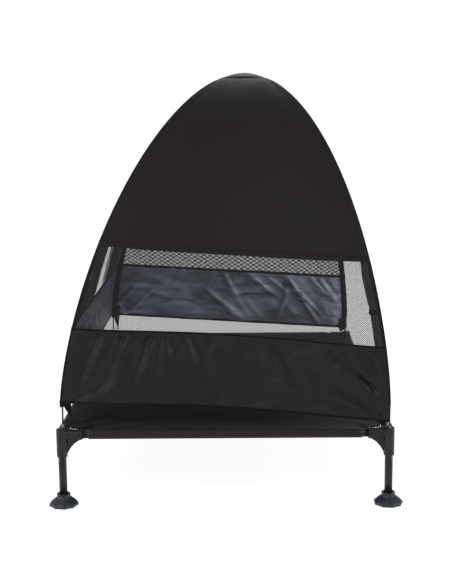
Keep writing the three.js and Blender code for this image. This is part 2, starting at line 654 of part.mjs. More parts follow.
for (const corner of CORNERS) {
  const wall = corner.y < 0 ? WALLS.front : WALLS.back;
  const hem = hemAtCorner(corner);
  const neck = Math.max(BRACKET_TOP + TIE_NECK_OVER_BRACKET, hem - TIE_DROP);
  const facing = corner.x * corner.y;
  const surface = (u, v) => {
    const z = mix(neck, hem + TIE_OVERLAP, v);
    const share = clamp01((z - neck) / (hem - neck));
    const halfWidth = mix(TIE_NECK_WIDTH, TIE_WIDTH, share) / 2;
    const sewn = SHELL_TO_POLE + SLEEVE_OUTER + 1 + TIE_WIDTH / 2;
    const inboard = mix(TIE_NECK_INSET, sewn, share) + facing * u * halfWidth;
    const cornerX = corner.x * SHELL_X * spanAt(z);
    const alongWall = 1 - inboard / (SHELL_X * spanAt(z));
    const drawn = bowAt(wall, z) * (1 - alongWall * alongWall) ** 2;
    const inward = mix(TIE_NECK_INSET, CLOTH_THICKNESS + TIE_STANDOFF + drawn, share);
    return new THREE.Vector3(
      leanAt(z) + cornerX - corner.x * inboard,
      corner.y * (SHELL_Y * spanAt(z) - inward),
      z,
    );
  };
  add(`corner_tie_${corner.name}`, cloth(surface, 2, 8, CLOTH_THICKNESS), WEBBING);

  const middle = new THREE.Vector3(
    corner.x * (SHELL_X - TIE_NECK_INSET), corner.y * (SHELL_Y - TIE_NECK_INSET), 0,
  );
  const across = new THREE.Vector3(corner.y, -corner.x, 0).normalize();
  const bottom = RAIL_HEIGHT - ELASTIC_BOTTOM;
  const top = neck - CLEARANCE - ELASTIC_RADIUS;
  const loop = [];
  const at = (offset, z) => middle.clone().addScaledVector(across, offset).setZ(z);
  loop.push(at(-ELASTIC_HALF_WIDTH, top), at(-ELASTIC_HALF_WIDTH, mix(bottom, top, 0.5)));
  for (let i = 0; i <= 4; i += 1) {
    const angle = Math.PI * (1 - i / 4);
    const drop = Math.sin(angle) * ELASTIC_HALF_WIDTH;
    loop.push(at(Math.cos(angle) * ELASTIC_HALF_WIDTH, bottom + ELASTIC_HALF_WIDTH - drop));
  }
  loop.push(at(ELASTIC_HALF_WIDTH, mix(bottom, top, 0.5)), at(ELASTIC_HALF_WIDTH, top));
  add(`elastic_loop_${corner.name}`, alongPoints(loop, 14, ELASTIC_RADIUS, 6), WEBBING);
}

// ---------- Door flap, gathered and tied at the front right pole ----------

/** The middle of the gathered flap at a height. */
function flapCentre(z) {
  const span = spanAt(z);
  return new THREE.Vector3(
    leanAt(z) + SHELL_X * span - FLAP_INSET_X, -(SHELL_Y * span - FLAP_INSET_Y), z,
  );
}

const flapRings = [];
for (let i = 0; i <= 9; i += 1) {
  const share = i / 9;
  const radius = mix(FLAP_END_RADIUS, FLAP_RADIUS, Math.sin(Math.PI * share) ** 0.6);
  const centre = flapCentre(mix(FLAP_BOTTOM, FLAP_TOP, share));
  flapRings.push(Array.from({ length: 12 }, (_, k) => {
    const angle = (2 * Math.PI * k) / 12;
    const offset = new THREE.Vector3(radius * Math.cos(angle), radius * Math.sin(angle), 0);
    return offset.add(centre);
  }));
}
const flap = ringSolid(flapRings, flapCentre(FLAP_BOTTOM), flapCentre(FLAP_TOP));
add('door_flap', flap, FLAP_CLOTH);

const tieEnds = [-1, 0, 1].map((k) => flapCentre(FLAP_TIE_HEIGHT + (k * FLAP_TIE_WIDTH) / 2));
const tieInner = FLAP_RADIUS + 0.8;
const doorTie = alongPoints(tieEnds, 2, tieInner + FLAP_TIE_THICKNESS, 12, tieInner);
add('door_tie', doorTie, WEBBING);

export default bed;
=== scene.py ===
import math

import bmesh
import bpy
from bpy.props import FloatProperty, PointerProperty
from mathutils import Matrix, Vector, noise


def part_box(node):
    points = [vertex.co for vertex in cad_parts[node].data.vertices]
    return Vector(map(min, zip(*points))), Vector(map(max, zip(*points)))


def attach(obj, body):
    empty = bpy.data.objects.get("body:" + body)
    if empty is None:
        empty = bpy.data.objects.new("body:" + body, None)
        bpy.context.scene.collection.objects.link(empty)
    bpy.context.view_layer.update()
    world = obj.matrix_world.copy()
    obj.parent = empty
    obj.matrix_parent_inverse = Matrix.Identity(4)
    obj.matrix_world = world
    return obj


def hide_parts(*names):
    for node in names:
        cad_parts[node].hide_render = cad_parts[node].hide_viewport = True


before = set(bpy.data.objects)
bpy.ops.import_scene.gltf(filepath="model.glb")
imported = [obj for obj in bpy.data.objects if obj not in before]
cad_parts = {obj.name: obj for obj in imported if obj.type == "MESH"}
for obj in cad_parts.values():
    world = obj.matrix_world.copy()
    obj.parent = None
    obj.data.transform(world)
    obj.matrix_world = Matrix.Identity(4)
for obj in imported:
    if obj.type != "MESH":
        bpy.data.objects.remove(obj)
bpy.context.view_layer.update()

bl_info = {
    "name": "Dog Cot with Canopy",
    "version": (1, 0, 0),
    "blender": (4, 5, 0),
    "location": "View3D > Sidebar > Dog Cot",
    "description": "Builds a raised dog cot with a pop-up canopy round its CAD frame",
    "category": "Add Mesh",
}

# ---------- Sizes read from the frame, in metres ----------


def middle(node):
    """The middle of a CAD node's box."""
    low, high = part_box(node)
    return (Vector(low) + Vector(high)) / 2


def half_size(node, axis):
    """Half of a CAD node's size along an axis."""
    low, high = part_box(node)
    return (high[axis] - low[axis]) / 2


LEG = middle("leg_tube_back_right")
LEG_X, LEG_Y = LEG.x, LEG.y
LEG_RADIUS = half_size("leg_tube_back_right", 0)
RAIL_Z = middle("end_rail_front").z
RAIL_RADIUS = half_size("end_rail_front", 2)
PLUG_PLAY = 0.0004
FOOT_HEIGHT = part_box("foot_back_right")[1][2]
FOOT_RADIUS = half_size("foot_back_right", 0)
TIP = middle("pole_tip_back_right")
TIP_RADIUS = half_size("pole_tip_back_right", 0)
TIP_LOW, TIP_TOP = (corner[2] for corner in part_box("pole_tip_back_right"))
SLING_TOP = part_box("bed_sling")[1][2]

# ---------- The canopy's shape, the same as the CAD frame's ----------

APEX = 0.971
OVERHANG = 0.002
SHELL_X = LEG_X + OVERHANG
SHELL_Y = LEG_Y + OVERHANG
STRAIGHT_TO = 0.230
RISE_POWER = 1.53
SPAN_POWER = 1.95
LEAN = 0.050
LEAN_FROM = 0.200
LEAN_POWER = 1.51
SEAM_TILT = 0.024 / SHELL_X
HEM_Z = 0.216
BAND_TOP_Z = 0.380
ROOF_HEM_Z = 0.564
BAND_DEPTH = BAND_TOP_Z - HEM_Z
NET_DEPTH = ROOF_HEM_Z - BAND_TOP_Z
FRONT_BOW = 0.040
BOW_CENTRE = 0.400
ROOF_HEM_SAG = 0.008
POLE_RADIUS = 0.002
POLE_DROP_A = 0.0075
POLE_DROP_B = 0.0118
SLEEVE_REACH = 0.0085
FLAP_INSET = (0.0155, 0.0240)
FLAP_SHIFT = 0.0018

WALLS = {
    "front": ((0, -1), (1, 0), FRONT_BOW, ROOF_HEM_SAG),
    "right": ((1, 0), (0, 1), 0.0, 0.0),
    "back": ((0, 1), (-1, 0), 0.0, 0.0),
    "left": ((-1, 0), (0, -1), 0.0, 0.0),
}
CORNERS = {
    "front_left": (-1, -1),
    "front_right": (1, -1),
    "back_right": (1, 1),
    "back_left": (-1, 1),
}


def mix(a, b, share):
    return a + (b - a) * share


def clamp01(value):
    return min(1.0, max(0.0, value))


def smooth_step(value):
    value = clamp01(value)
    return value * value * (3 - 2 * value)


def span_at(z):
    """The share of the base span left at a height."""
    rise = clamp01((z - STRAIGHT_TO) / (APEX - STRAIGHT_TO))
    return (1 - rise ** RISE_POWER) ** (1 / SPAN_POWER)


def lean_at(z):
    """How far the canopy's middle has leant towards the doorway at a height."""
    return LEAN * clamp01((z - LEAN_FROM) / (APEX - LEAN_FROM)) ** LEAN_POWER


def bow_at(bow, z):
    share = (z - BOW_CENTRE) / (APEX - BOW_CENTRE)
    return bow * max(0.0, math.cos(share * math.pi / 2))


def half_of(wall):
    """Half of a wall's length at its base."""
    return SHELL_Y if WALLS[wall][0][0] else SHELL_X


def wall_point(wall, u, z, inset=0.0):
    """A point of a wall, u from -1 at one pole to 1 at the next."""
    out, along, bow, _ = WALLS[wall]
    half_x = SHELL_X * span_at(z)
    half_y = SHELL_Y * span_at(z)
    drawn = bow_at(bow, z) * (1 - u * u) ** 2 + inset
    return Vector((
        lean_at(z) + out[0] * (half_x - drawn) + along[0] * u * half_x,
        out[1] * (half_y - drawn) + along[1] * u * half_y,
        z,
    ))


def seam_at(wall, u, height, sag=0.0):
    """The height of a seam on a wall, for the seam's height over the middle of the cot."""
    out, along, _, _ = WALLS[wall]
    x = lean_at(height) + SHELL_X * span_at(height) * (out[0] + along[0] * u)
    return height - SEAM_TILT * x - sag * (1 - u * u)


def hem_at_corner(sign_x):
    return HEM_Z - SEAM_TILT * sign_x * SHELL_X


def pole_point(side_x, angle, drop):
    """A point of a pole's axis: angle 0 at its front corner, a quarter turn at the apex."""
    span = abs(math.cos(angle)) ** (2 / SPAN_POWER) * math.copysign(1, math.cos(angle))
    z = mix(STRAIGHT_TO, APEX - drop, math.sin(angle) ** (2 / RISE_POWER))
    inset = OVERHANG + (LEG_X - TIP.x)
    return Vector((
        lean_at(z + POLE_DROP_A) + side_x * (SHELL_X - inset) * span,
        -(SHELL_Y - inset) * span,
        z,
    ))


# ---------- Helpers for meshes ----------


def new_piece(name, bm, smooth=True):
    """An object at the origin from a bmesh."""
    mesh = bpy.data.meshes.new(name)
    for face in bm.faces:
        face.smooth = smooth
    bm.to_mesh(mesh)
    bm.free()
    piece = bpy.data.objects.new(name, mesh)
    bpy.context.scene.collection.objects.link(piece)
    return piece


def finish_piece(piece, body, materials, nodes=()):
    """Gives a piece its materials, its body and the CAD nodes it stands for."""
    for material in materials:
        piece.data.materials.append(material)
    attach(piece, body)
    if nodes:
        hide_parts(*nodes)
    return piece


def give_thickness(piece, thickness, inner_slot=0):
    """Thickens a cloth inwards, with another finish on the inside if there is one."""
    solid = piece.modifiers.new("Cloth thickness", "SOLIDIFY")
    solid.thickness = thickness
    solid.offset = -1
    solid.material_offset = inner_slot
    solid.material_offset_rim = 0


def cloth_bmesh(columns, rows, place, size, wrap=False):
    """A grid laid out by place(u, v), u from -1 to 1 and v from 0 to 1, with a UV map in metres."""
    bm = bmesh.new()
    bmesh.ops.create_grid(bm, x_segments=columns, y_segments=rows, size=1)
    uv = bm.loops.layers.uv.new("Metres")
    for face in bm.faces:
        for loop in face.loops:
            x, y = loop.vert.co.xy
            loop[uv].uv = (x * size[0] / 2, (y + 1) / 2 * size[1])
    for vert in bm.verts:
        vert.co = place(vert.co.x, (vert.co.y + 1) / 2)
    if wrap:
        bmesh.ops.remove_doubles(bm, verts=bm.verts, dist=1e-5)
    return bm


def tube(name, points, radius, sides=16, radii=None, closed=False):
    """A round tube along points, with its ends closed."""
    curve = bpy.data.curves.new(name, "CURVE")
    curve.dimensions = "3D"
    curve.bevel_depth = radius
    curve.bevel_resolution = max(1, sides // 4 - 1)
    curve.use_fill_caps = not closed
    spline = curve.splines.new("POLY")
    spline.points.add(len(points) - 1)
    spline.use_cyclic_u = closed
    for i, point in enumerate(points):
        spline.points[i].co = (*point, 1)
        spline.points[i].radius = 1 if radii is None else radii[i]
    holder = bpy.data.objects.new(name + "_path", curve)
    mesh = bpy.data.meshes.new_from_object(holder)
    bpy.data.objects.remove(holder)
    bpy.data.curves.remove(curve)
    bm = bmesh.new()
    bm.from_mesh(mesh)
    bpy.data.meshes.remove(mesh)
    bmesh.ops.remove_doubles(bm, verts=bm.verts, dist=1e-6)
    bmesh.ops.recalc_face_normals(bm, faces=bm.faces)
    return new_piece(name, bm)


def turned(profile, segments=48):
    """A bmesh turned about Z from (radius, height) points that start and end on the axis."""
    bm = bmesh.new()
    verts = [bm.verts.new((r, 0, z)) for r, z in profile]
    edges = [bm.edges.new(pair) for pair in zip(verts, verts[1:])]
    bmesh.ops.spin(bm, geom=verts + edges, cent=(0, 0, 0), axis=(0, 0, 1),
                   angle=2 * math.pi, steps=segments, use_merge=True)
    bmesh.ops.remove_doubles(bm, verts=bm.verts, dist=1e-6)
    bmesh.ops.recalc_face_normals(bm, faces=bm.faces)
    return bm


def joined(name, parts):
    """One piece from several bmeshes."""
    whole = bmesh.new()
    for part in parts:
        mesh = bpy.data.meshes.new("part")
        part.to_mesh(mesh)
        part.free()
        whole.from_mesh(mesh)
        bpy.data.meshes.remove(mesh)
    return new_piece(name, whole)


def bridge(bm, rings, closed=True):
    """Faces between each ring or row of vertices and the next."""
    count = len(rings[0])
    for one, two in zip(rings, rings[1:]):
        for k in range(count if closed else count - 1):
            j = (k + 1) % count
            bm.faces.new((one[k], one[j], two[j], two[k]))


def turn_about(bm, axis, angle):
    """Turns a bmesh about an axis through the origin."""
    bmesh.ops.rotate(bm, verts=bm.verts, cent=(0, 0, 0), matrix=Matrix.Rotation(angle, 3, axis))


def soft_edges(piece, width, angle=35, segments=2):
    """Rounds a moulded piece's edges and shades it smooth between them."""
    bevel = piece.modifiers.new("Moulded edges", "BEVEL")
    bevel.width = width
    bevel.segments = segments
    bevel.limit_method = "ANGLE"
    bevel.angle_limit = math.radians(angle)
    bevel.harden_normals = True


# ---------- Materials ----------


def linear(hex_colour):
    """An sRGB hex colour as linear values."""
    values = [int(hex_colour[i:i + 2], 16) / 255 for i in (1, 3, 5)]
    return [v / 12.92 if v <= 0.04045 else ((v + 0.055) / 1.055) ** 2.4 for v in values]


def add_node(tree, kind, settings=None, inputs=None):
    """Adds a node, sets its settings, and sets or links its inputs."""
    made = tree.nodes.new(kind)
    for key, value in (settings or {}).items():
        setattr(made, key, value)
    for key, value in (inputs or {}).items():
        if isinstance(value, bpy.types.NodeSocket):
            tree.links.new(value, made.inputs[key])
        else:
            made.inputs[key].default_value = value
    return made


def new_material(name, colour, roughness, metallic=0.0, **sockets):
    """A Principled material. Returns it with its tree and shader."""
    material = bpy.data.materials.new(name)
    material.use_nodes = True
    shader = material.node_tree.nodes["Principled BSDF"]
    shader.inputs["Base Color"].default_value = (*linear(colour), 1)
    shader.inputs["Roughness"].default_value = roughness
    shader.inputs["Metallic"].default_value = metallic
    for key, value in sockets.items():
        shader.inputs[key.replace("_", " ")].default_value = value
    return material, material.node_tree, shader


def mottle(tree, shader, vector, colour, spread, scale):
    """Varies the base colour softly, from darker to lighter by spread."""
    cloud = add_node(tree, "ShaderNodeTexNoise", None, {"Vector": vector, "Scale": scale, "Detail": 4.0})
    base = linear(colour)
    low = [c * (1 - spread) for c in base]
    high = [c * (1 + spread) for c in base]
    tint = add_node(tree, "ShaderNodeMix", {"data_type": "RGBA"},
                    {"Factor": cloud.outputs["Fac"], 6: (*low, 1), 7: (*high, 1)})
    tree.links.new(tint.outputs[2], shader.inputs["Base Color"])
    return cloud


def rough_by(tree, shader, factor, low, high):
    """Roughness from low to high by a factor."""
    spread = add_node(tree, "ShaderNodeMapRange", None,
                      {"Value": factor, "To Min": low, "To Max": high})
    tree.links.new(spread.outputs[0], shader.inputs["Roughness"])


def bump(tree, shader, height, strength, distance, below=None):
    """Adds a bump, over another one if below is given."""
    inputs = {"Height": height, "Strength": strength, "Distance": distance}
    if below is not None:
        inputs["Normal"] = below
    made = add_node(tree, "ShaderNodeBump", None, inputs)
    tree.links.new(made.outputs[0], shader.inputs["Normal"])
    return made.outputs[0]


def weave(tree, uv, thread):
    """A plain weave's height, from 0 to 1: two sets of threads that cross, thread metres apart."""
    scale = math.pi / thread
    parts = add_node(tree, "ShaderNodeSeparateXYZ", None, {0: uv})
    waves = []
    for axis in ("X", "Y"):
        phase = add_node(tree, "ShaderNodeMath", {"operation": "MULTIPLY"},
                         {0: parts.outputs[axis], 1: scale})
        wave = add_node(tree, "ShaderNodeMath", {"operation": "SINE"}, {0: phase.outputs[0]})
        waves.append(add_node(tree, "ShaderNodeMath", {"operation": "ABSOLUTE"}, {0: wave.outputs[0]}))
    return add_node(tree, "ShaderNodeMath", {"operation": "MULTIPLY"},
                    {0: waves[0].outputs[0], 1: waves[1].outputs[0]}).outputs[0]


def oxford_polyester(name, colour, roughness, thread=0.0012, spread=0.10, gloss=0.14):
    """Woven tent polyester: matte, with a faint sheen along the threads. Threads on such cloth are
    about 0.4 mm apart, which is too fine to show, so they are drawn about three times as coarse."""
    material, tree, shader = new_material(name, colour, roughness, Sheen_Weight=0.02,
                                          Sheen_Roughness=0.5, Specular_IOR_Level=gloss)
    uv = add_node(tree, "ShaderNodeUVMap", {"uv_map": "Metres"}).outputs[0]
    cloud = mottle(tree, shader, uv, colour, spread, 9.0)
    rough_by(tree, shader, cloud.outputs["Fac"], roughness - 0.08, roughness + 0.08)
    soft = add_node(tree, "ShaderNodeTexNoise", None, {"Vector": uv, "Scale": 28.0, "Detail": 3.0})
    under = bump(tree, shader, soft.outputs["Fac"], 0.25, 0.002)
    bump(tree, shader, weave(tree, uv, thread), 0.35, 0.0003, under)
    return material


def coated_inside(name, colour, roughness):
    """The polyurethane coating on the inside of tent cloth: a thin shiny film that has been folded
    and creased, so it breaks the light into sharp streaks. Its base colour is also painted lighter and
    darker along slanting streaks: painted highlights and painted shade."""
    material, tree, shader = new_material(name, colour, roughness, Specular_IOR_Level=0.9)
    uv = add_node(tree, "ShaderNodeUVMap", {"uv_map": "Metres"}).outputs[0]
    turned_uv = add_node(tree, "ShaderNodeMapping", None,
                         {"Vector": uv, "Rotation": (0, 0, 0.9), "Scale": (1.0, 3.4, 1.0)}).outputs[0]
    streak = add_node(tree, "ShaderNodeTexNoise", None,
                      {"Vector": turned_uv, "Scale": 9.0, "Detail": 4.0, "Distortion": 0.8})
    share = add_node(tree, "ShaderNodeMapRange", None,
                     {"Value": streak.outputs["Fac"], "From Min": 0.38, "From Max": 0.68})
    # Painted highlights and painted shade: along the streaks the base colour runs from 0.62 to 2.3 times
    # its value.
    base = linear(colour)
    painted_streaks = add_node(tree, "ShaderNodeMix", {"data_type": "RGBA"},
                    {"Factor": share.outputs[0], 6: (*[c * 0.62 for c in base], 1),
                     7: (*[min(1, c * 2.3) for c in base], 1)})
    tree.links.new(painted_streaks.outputs[2], shader.inputs["Base Color"])
    rough_by(tree, shader, streak.outputs["Fac"], roughness - 0.06, roughness + 0.1)
    sharp = add_node(tree, "ShaderNodeTexVoronoi", {"feature": "DISTANCE_TO_EDGE"},
                     {"Vector": turned_uv, "Scale": 17.0})
    under = bump(tree, shader, streak.outputs["Fac"], 0.5, 0.006)
    bump(tree, shader, sharp.outputs["Distance"], 0.3, 0.002, under)
    return material


def polyester_net(name, colour, pitch):
    """Warp-knitted fly net: round holes in offset rows between thin threads. The holes are drawn
    at a pitch that just shows. The real pitch isn't known, and fly net is often finer."""
    material, tree, shader = new_material(name, colour, 0.75, Specular_IOR_Level=0.3)
    uv = add_node(tree, "ShaderNodeUVMap", {"uv_map": "Metres"}).outputs[0]
    turned_uv = add_node(tree, "ShaderNodeMapping", None,
                         {"Vector": uv, "Rotation": (0, 0, math.pi / 4)}).outputs[0]
    cells = add_node(tree, "ShaderNodeTexVoronoi", {"feature": "F1", "voronoi_dimensions": "2D"},
                     {"Vector": turned_uv, "Scale": 1 / pitch, "Randomness": 0.0})
    hole_radius = 0.335
    thread = add_node(tree, "ShaderNodeMath", {"operation": "GREATER_THAN"},
                      {0: cells.outputs["Distance"], 1: hole_radius})
    tree.links.new(thread.outputs[0], shader.inputs["Alpha"])
    return material


def binding_tape(name, colour, roughness=0.75):
    """Grosgrain tape: fine ribs across its length, over a soft mottle of its colour."""
    material, tree, shader = new_material(name, colour, roughness, Specular_IOR_Level=0.12)
    place = add_node(tree, "ShaderNodeTexCoord").outputs["Object"]
    cloud = mottle(tree, shader, place, colour, 0.12, 40.0)
    ribs = add_node(tree, "ShaderNodeTexWave", {"bands_direction": "DIAGONAL"},
                    {"Vector": place, "Scale": 320.0, "Distortion": 0.4})
    under = bump(tree, shader, ribs.outputs["Fac"], 0.25, 0.0004)
    bump(tree, shader, cloud.outputs["Fac"], 0.3, 0.001, under)
    return material


def powder_coat(name, colour):
    """Powder-coated steel: a satin skin with a fine orange-peel texture."""
    material, tree, shader = new_material(name, colour, 0.42, Specular_IOR_Level=0.3)
    place = add_node(tree, "ShaderNodeTexCoord").outputs["Object"]
    cloud = mottle(tree, shader, place, colour, 0.10, 30.0)
    rough_by(tree, shader, cloud.outputs["Fac"], 0.36, 0.5)
    peel = add_node(tree, "ShaderNodeTexNoise", None, {"Vector": place, "Scale": 900.0, "Detail": 2.0})
    bump(tree, shader, peel.outputs["Fac"], 0.2, 0.0003)
    return material


def moulded_polypropylene(name, colour, roughness):
    """Injection-moulded polypropylene: a light spark-eroded grain, greyer where it is rubbed."""
    material, tree, shader = new_material(name, colour, roughness, Specular_IOR_Level=0.3)
    place = add_node(tree, "ShaderNodeTexCoord").outputs["Object"]
    cloud = mottle(tree, shader, place, colour, 0.16, 60.0)
    rough_by(tree, shader, cloud.outputs["Fac"], roughness - 0.07, roughness + 0.1)
    grain = add_node(tree, "ShaderNodeTexNoise", None, {"Vector": place, "Scale": 1400.0, "Detail": 3.0})
    bump(tree, shader, grain.outputs["Fac"], 0.25, 0.0003)
    return material


def plain_fibreglass(name, colour):
    """Pultruded fibreglass rod: glossy resin with faint lengthwise fibres."""
    material, tree, shader = new_material(name, colour, 0.28)
    place = add_node(tree, "ShaderNodeTexCoord").outputs["Object"]
    along = add_node(tree, "ShaderNodeMapping", None, {"Vector": place, "Scale": (900, 900, 20)}).outputs[0]
    fibres = add_node(tree, "ShaderNodeTexNoise", None, {"Vector": along, "Scale": 1.0, "Detail": 2.0})
    rough_by(tree, shader, fibres.outputs["Fac"], 0.2, 0.42)
    bump(tree, shader, fibres.outputs["Fac"], 0.1, 0.0002)
    return material


def zinc_steel(name, colour):
    """Zinc-plated steel: a dull grey metal with fine drawn lines."""
    material, tree, shader = new_material(name, colour, 0.38, 1.0)
    place = add_node(tree, "ShaderNodeTexCoord").outputs["Object"]
    along = add_node(tree, "ShaderNodeMapping", None, {"Vector": place, "Scale": (700, 700, 30)}).outputs[0]
    lines = add_node(tree, "ShaderNodeTexNoise", None, {"Vector": along, "Scale": 1.0, "Detail": 2.0})
    rough_by(tree, shader, lines.outputs["Fac"], 0.28, 0.5)
    return material


# ---------- The cloths of the canopy ----------

CLOTH = 0.0007
MATERIALS = {}


# Creases of the two end bands that show: (s0, h0, s1, h1, width, height), s from the wall's middle
# and h over its hem. Each is highest and narrowest at its first end.
FRONT_CREASES = [
    (-0.300, 0.166, -0.332, 0.040, 0.011, 0.009),
    (-0.240, 0.168, -0.282, 0.030, 0.012, 0.011),
    (-0.176, 0.168, -0.218, 0.040, 0.013, 0.010),
    (-0.153, 0.168, -0.166, 0.040, 0.010, 0.007),
    (-0.148, 0.168, -0.070, 0.050, 0.014, 0.008),
    (-0.088, 0.166, -0.005, 0.004, 0.018, 0.010),
    (-0.352, -0.004, -0.230, 0.080, 0.014, 0.008),
    (0.352, 0.060, 0.225, 0.156, 0.004, 0.010),
    (0.335, 0.060, 0.264, 0.156, 0.004, 0.009),
    (0.350, 0.105, 0.318, 0.158, 0.004, 0.009),
    (0.350, 0.010, 0.170, 0.110, 0.009, 0.009),
    (0.350, 0.004, 0.100, 0.045, 0.010, 0.008),
    (0.110, 0.158, 0.180, 0.050, 0.012, 0.006),
]
BACK_CREASES = [
    (0.362, 0.100, 0.296, 0.156, 0.004, 0.006),
    (0.352, 0.034, 0.262, 0.150, 0.006, 0.013),
    (0.345, 0.014, 0.280, 0.078, 0.006, 0.011),
    (0.330, 0.008, 0.215, 0.100, 0.007, 0.012),
    (0.300, 0.030, 0.190, 0.156, 0.006, 0.010),
    (0.150, 0.156, 0.215, 0.060, 0.008, 0.009),
    (0.088, 0.144, 0.134, 0.108, 0.003, 0.004),
    (0.004, 0.112, 0.054, 0.062, 0.003, 0.005),
    (0.070, 0.096, -0.046, 0.006, 0.007, 0.010),
    (0.020, 0.156, -0.030, 0.060, 0.009, 0.007),
    (0.128, 0.041, 0.212, 0.043, 0.003, 0.003),
    (-0.050, 0.029, 0.132, 0.014, 0.004, 0.005),
    (-0.060, 0.156, -0.160, 0.080, 0.005, 0.009),
    (-0.112, 0.156, -0.190, 0.100, 0.004, 0.007),
    (-0.186, 0.152, -0.172, 0.062, 0.005, 0.008),
    (-0.170, 0.078, -0.150, 0.010, 0.005, 0.006),
    (-0.192, 0.142, -0.274, 0.014, 0.006, 0.010),
    (-0.226, 0.102, -0.296, 0.026, 0.005, 0.007),
    (-0.256, 0.156, -0.330, 0.084, 0.005, 0.008),
    (-0.284, 0.156, -0.348, 0.070, 0.005, 0.008),
    (-0.316, 0.156, -0.354, 0.100, 0.004, 0.006),
    (-0.060, 0.026, -0.150, 0.023, 0.003, 0.004),
    (0.010, 0.034, -0.058, 0.008, 0.004, 0.005),
]


def folds(s, h, lines):
    """The height at (s, h) of soft folds along lines of (s0, h0, s1, h1, width, height)."""
    total = 0.0
    for s0, h0, s1, h1, width, height in lines:
        ds, dh = s1 - s0, h1 - h0
        share = clamp01(((s - s0) * ds + (h - h0) * dh) / (ds * ds + dh * dh))
        gap = math.hypot(s - s0 - share * ds, h - h0 - share * dh)
        fade = 1 - 0.75 * share
        total += height * fade * math.exp(-(gap / width / (0.6 + 0.7 * share)) ** 2)
    return total


def crumple(s, h, seed, size, angle, stretch=2.6):
    """Sharp creases from 0 to 1, along one slanting direction."""
    c, w = math.cos(angle), math.sin(angle)
    a, b = (s * c + h * w) / (size * stretch), (h * c - s * w) / size
    return 1 - min(1.0, 2.2 * abs(noise.noise(Vector((a, b, seed)))))


def band_fold(wall, s, h):
    """How far a lower band stands in from the smooth wall at s from its middle and h over its hem."""
    edge = smooth_step(h / 0.018) * smooth_step((BAND_DEPTH - h) / 0.02)
    half = half_of(wall)
    side = smooth_step((half - 0.012 - abs(s)) / 0.03)
    if wall == "front":
        soft = 0.007 * noise.noise(Vector((s * 7, h * 9, 3.1)))
        soft += 0.0024 * noise.noise(Vector((s * 34, h * 10, 8.3)))
        return edge * side * (1.25 * folds(s, h, FRONT_CREASES) + soft
                              + 0.0042 * crumple(s, h, 7.7, 0.05, 0.55))
    if wall == "back":
        soft = 0.005 * noise.noise(Vector((s * 8, h * 9, 1.3)))
        slant = mix(0.9, -0.9, smooth_step((s - 0.01) / 0.1))
        fine = 0.0042 * crumple(s, h, 2.3, 0.034, slant, 4.0)
        return edge * side * (1.8 * folds(s, h, BACK_CREASES) + soft + fine)
    corner = smooth_step((half - 0.012 - abs(s)) / 0.11)
    sharp = crumple(s, h, 5.9, 0.042, 0.95) + 0.8 * crumple(s, h, 14.9, 0.055, -0.7)
    soft = 0.006 * noise.noise(Vector((s * 8, h * 9, 5.9)))
    return edge * corner * (0.0034 * sharp + soft)


def net_fold(wall, s, h):
    """How far the parted net of the left wall stands in: folds that hang beside the poles."""
    ripple = 0.5 - 0.5 * math.cos(2 * math.pi * s / 0.036 + 1.4 * math.sin(s * 31 + h * 4))
    return 0.0075 * ripple * smooth_step(h / 0.02) * smooth_step((NET_DEPTH - h) / 0.02)


def on_wall(wall, u, z, out=0.0):
    """A point of a wall, moved outwards, with the wall's up and outward directions there."""
    step = 0.002
    point = wall_point(wall, u, z)
    up = (wall_point(wall, u, z + step) - wall_point(wall, u, z - step)).normalized()
    along = (wall_point(wall, min(1, u + 0.01), z) - wall_point(wall, max(-1, u - 0.01), z)).normalized()
    facing = along.cross(up).normalized()
    return point + facing * out, up, facing


def wall_cloth(name, wall, low, high, columns, rows, fold=None, reach=(-1.0, 1.0), sag=0.0):
    """A cloth on a wall between two seams, over a reach of u, with folds if given."""
    half = half_of(wall)

    def place(a, v):
        u = mix(reach[0], reach[1], (a + 1) / 2)
        bottom, top = seam_at(wall, u, low), seam_at(wall, u, high, sag)
        z = mix(bottom, top, v)
        inset = fold(wall, u * half, z - bottom) if fold else 0.0
        return wall_point(wall, u, z, inset)

    size = (half * abs(reach[1] - reach[0]), high - low)
    return new_piece(name, cloth_bmesh(columns, rows, place, size))


def ribbon(name, stations, width, thickness):
    """A folded tape along stations of (point, up, facing): a flat strip with rounded edges."""
    bm = bmesh.new()
    half, round_in = width / 2, thickness / 2
    section = [(-half, 0), (-half + round_in, 1), (half - round_in, 1),
               (half, 0), (half - round_in, -1), (-half + round_in, -1)]
    rings = []
    for point, up, facing in stations:
        rings.append([bm.verts.new(point + up * a + facing * (b * thickness / 2)) for a, b in section])
    uv = bm.loops.layers.uv.new("Metres")
    along = 0.0
    for n, (one, two) in enumerate(zip(rings, rings[1:])):
        step = (stations[n + 1][0] - stations[n][0]).length
        for i in range(6):
            j = (i + 1) % 6
            face = bm.faces.new((one[i], one[j], two[j], two[i]))
            across = [section[i][0], section[j][0], section[j][0], section[i][0]]
            for loop, u, v in zip(face.loops, across, (along, along, along + step, along + step)):
                loop[uv].uv = (u, v)
        along += step
    bm.faces.new(rings[0][::-1])
    bm.faces.new(rings[-1])
    bmesh.ops.recalc_face_normals(bm, faces=bm.faces)
    return new_piece(name, bm)


def seam_tape(name, wall, height, width, thickness, sag=0.0):
    """A tape along a wall's seam, from one pole to the next."""
    steps = 90
    stations = []
    for i in range(steps + 1):
        u = mix(-1.0, 1.0, i / steps)
        stations.append(on_wall(wall, u, seam_at(wall, u, height, sag), -CLOTH / 2))
    return ribbon(name, stations, width, thickness)


def up_wall(wall, places, out=0.0):
    """Stations up a wall through (u, z) places, for a ribbon that lies flat on it."""
    stations = []
    for u, z in places:
        point, up, facing = on_wall(wall, u, z, out)
        stations.append((point, facing.cross(up), facing))
    return stations


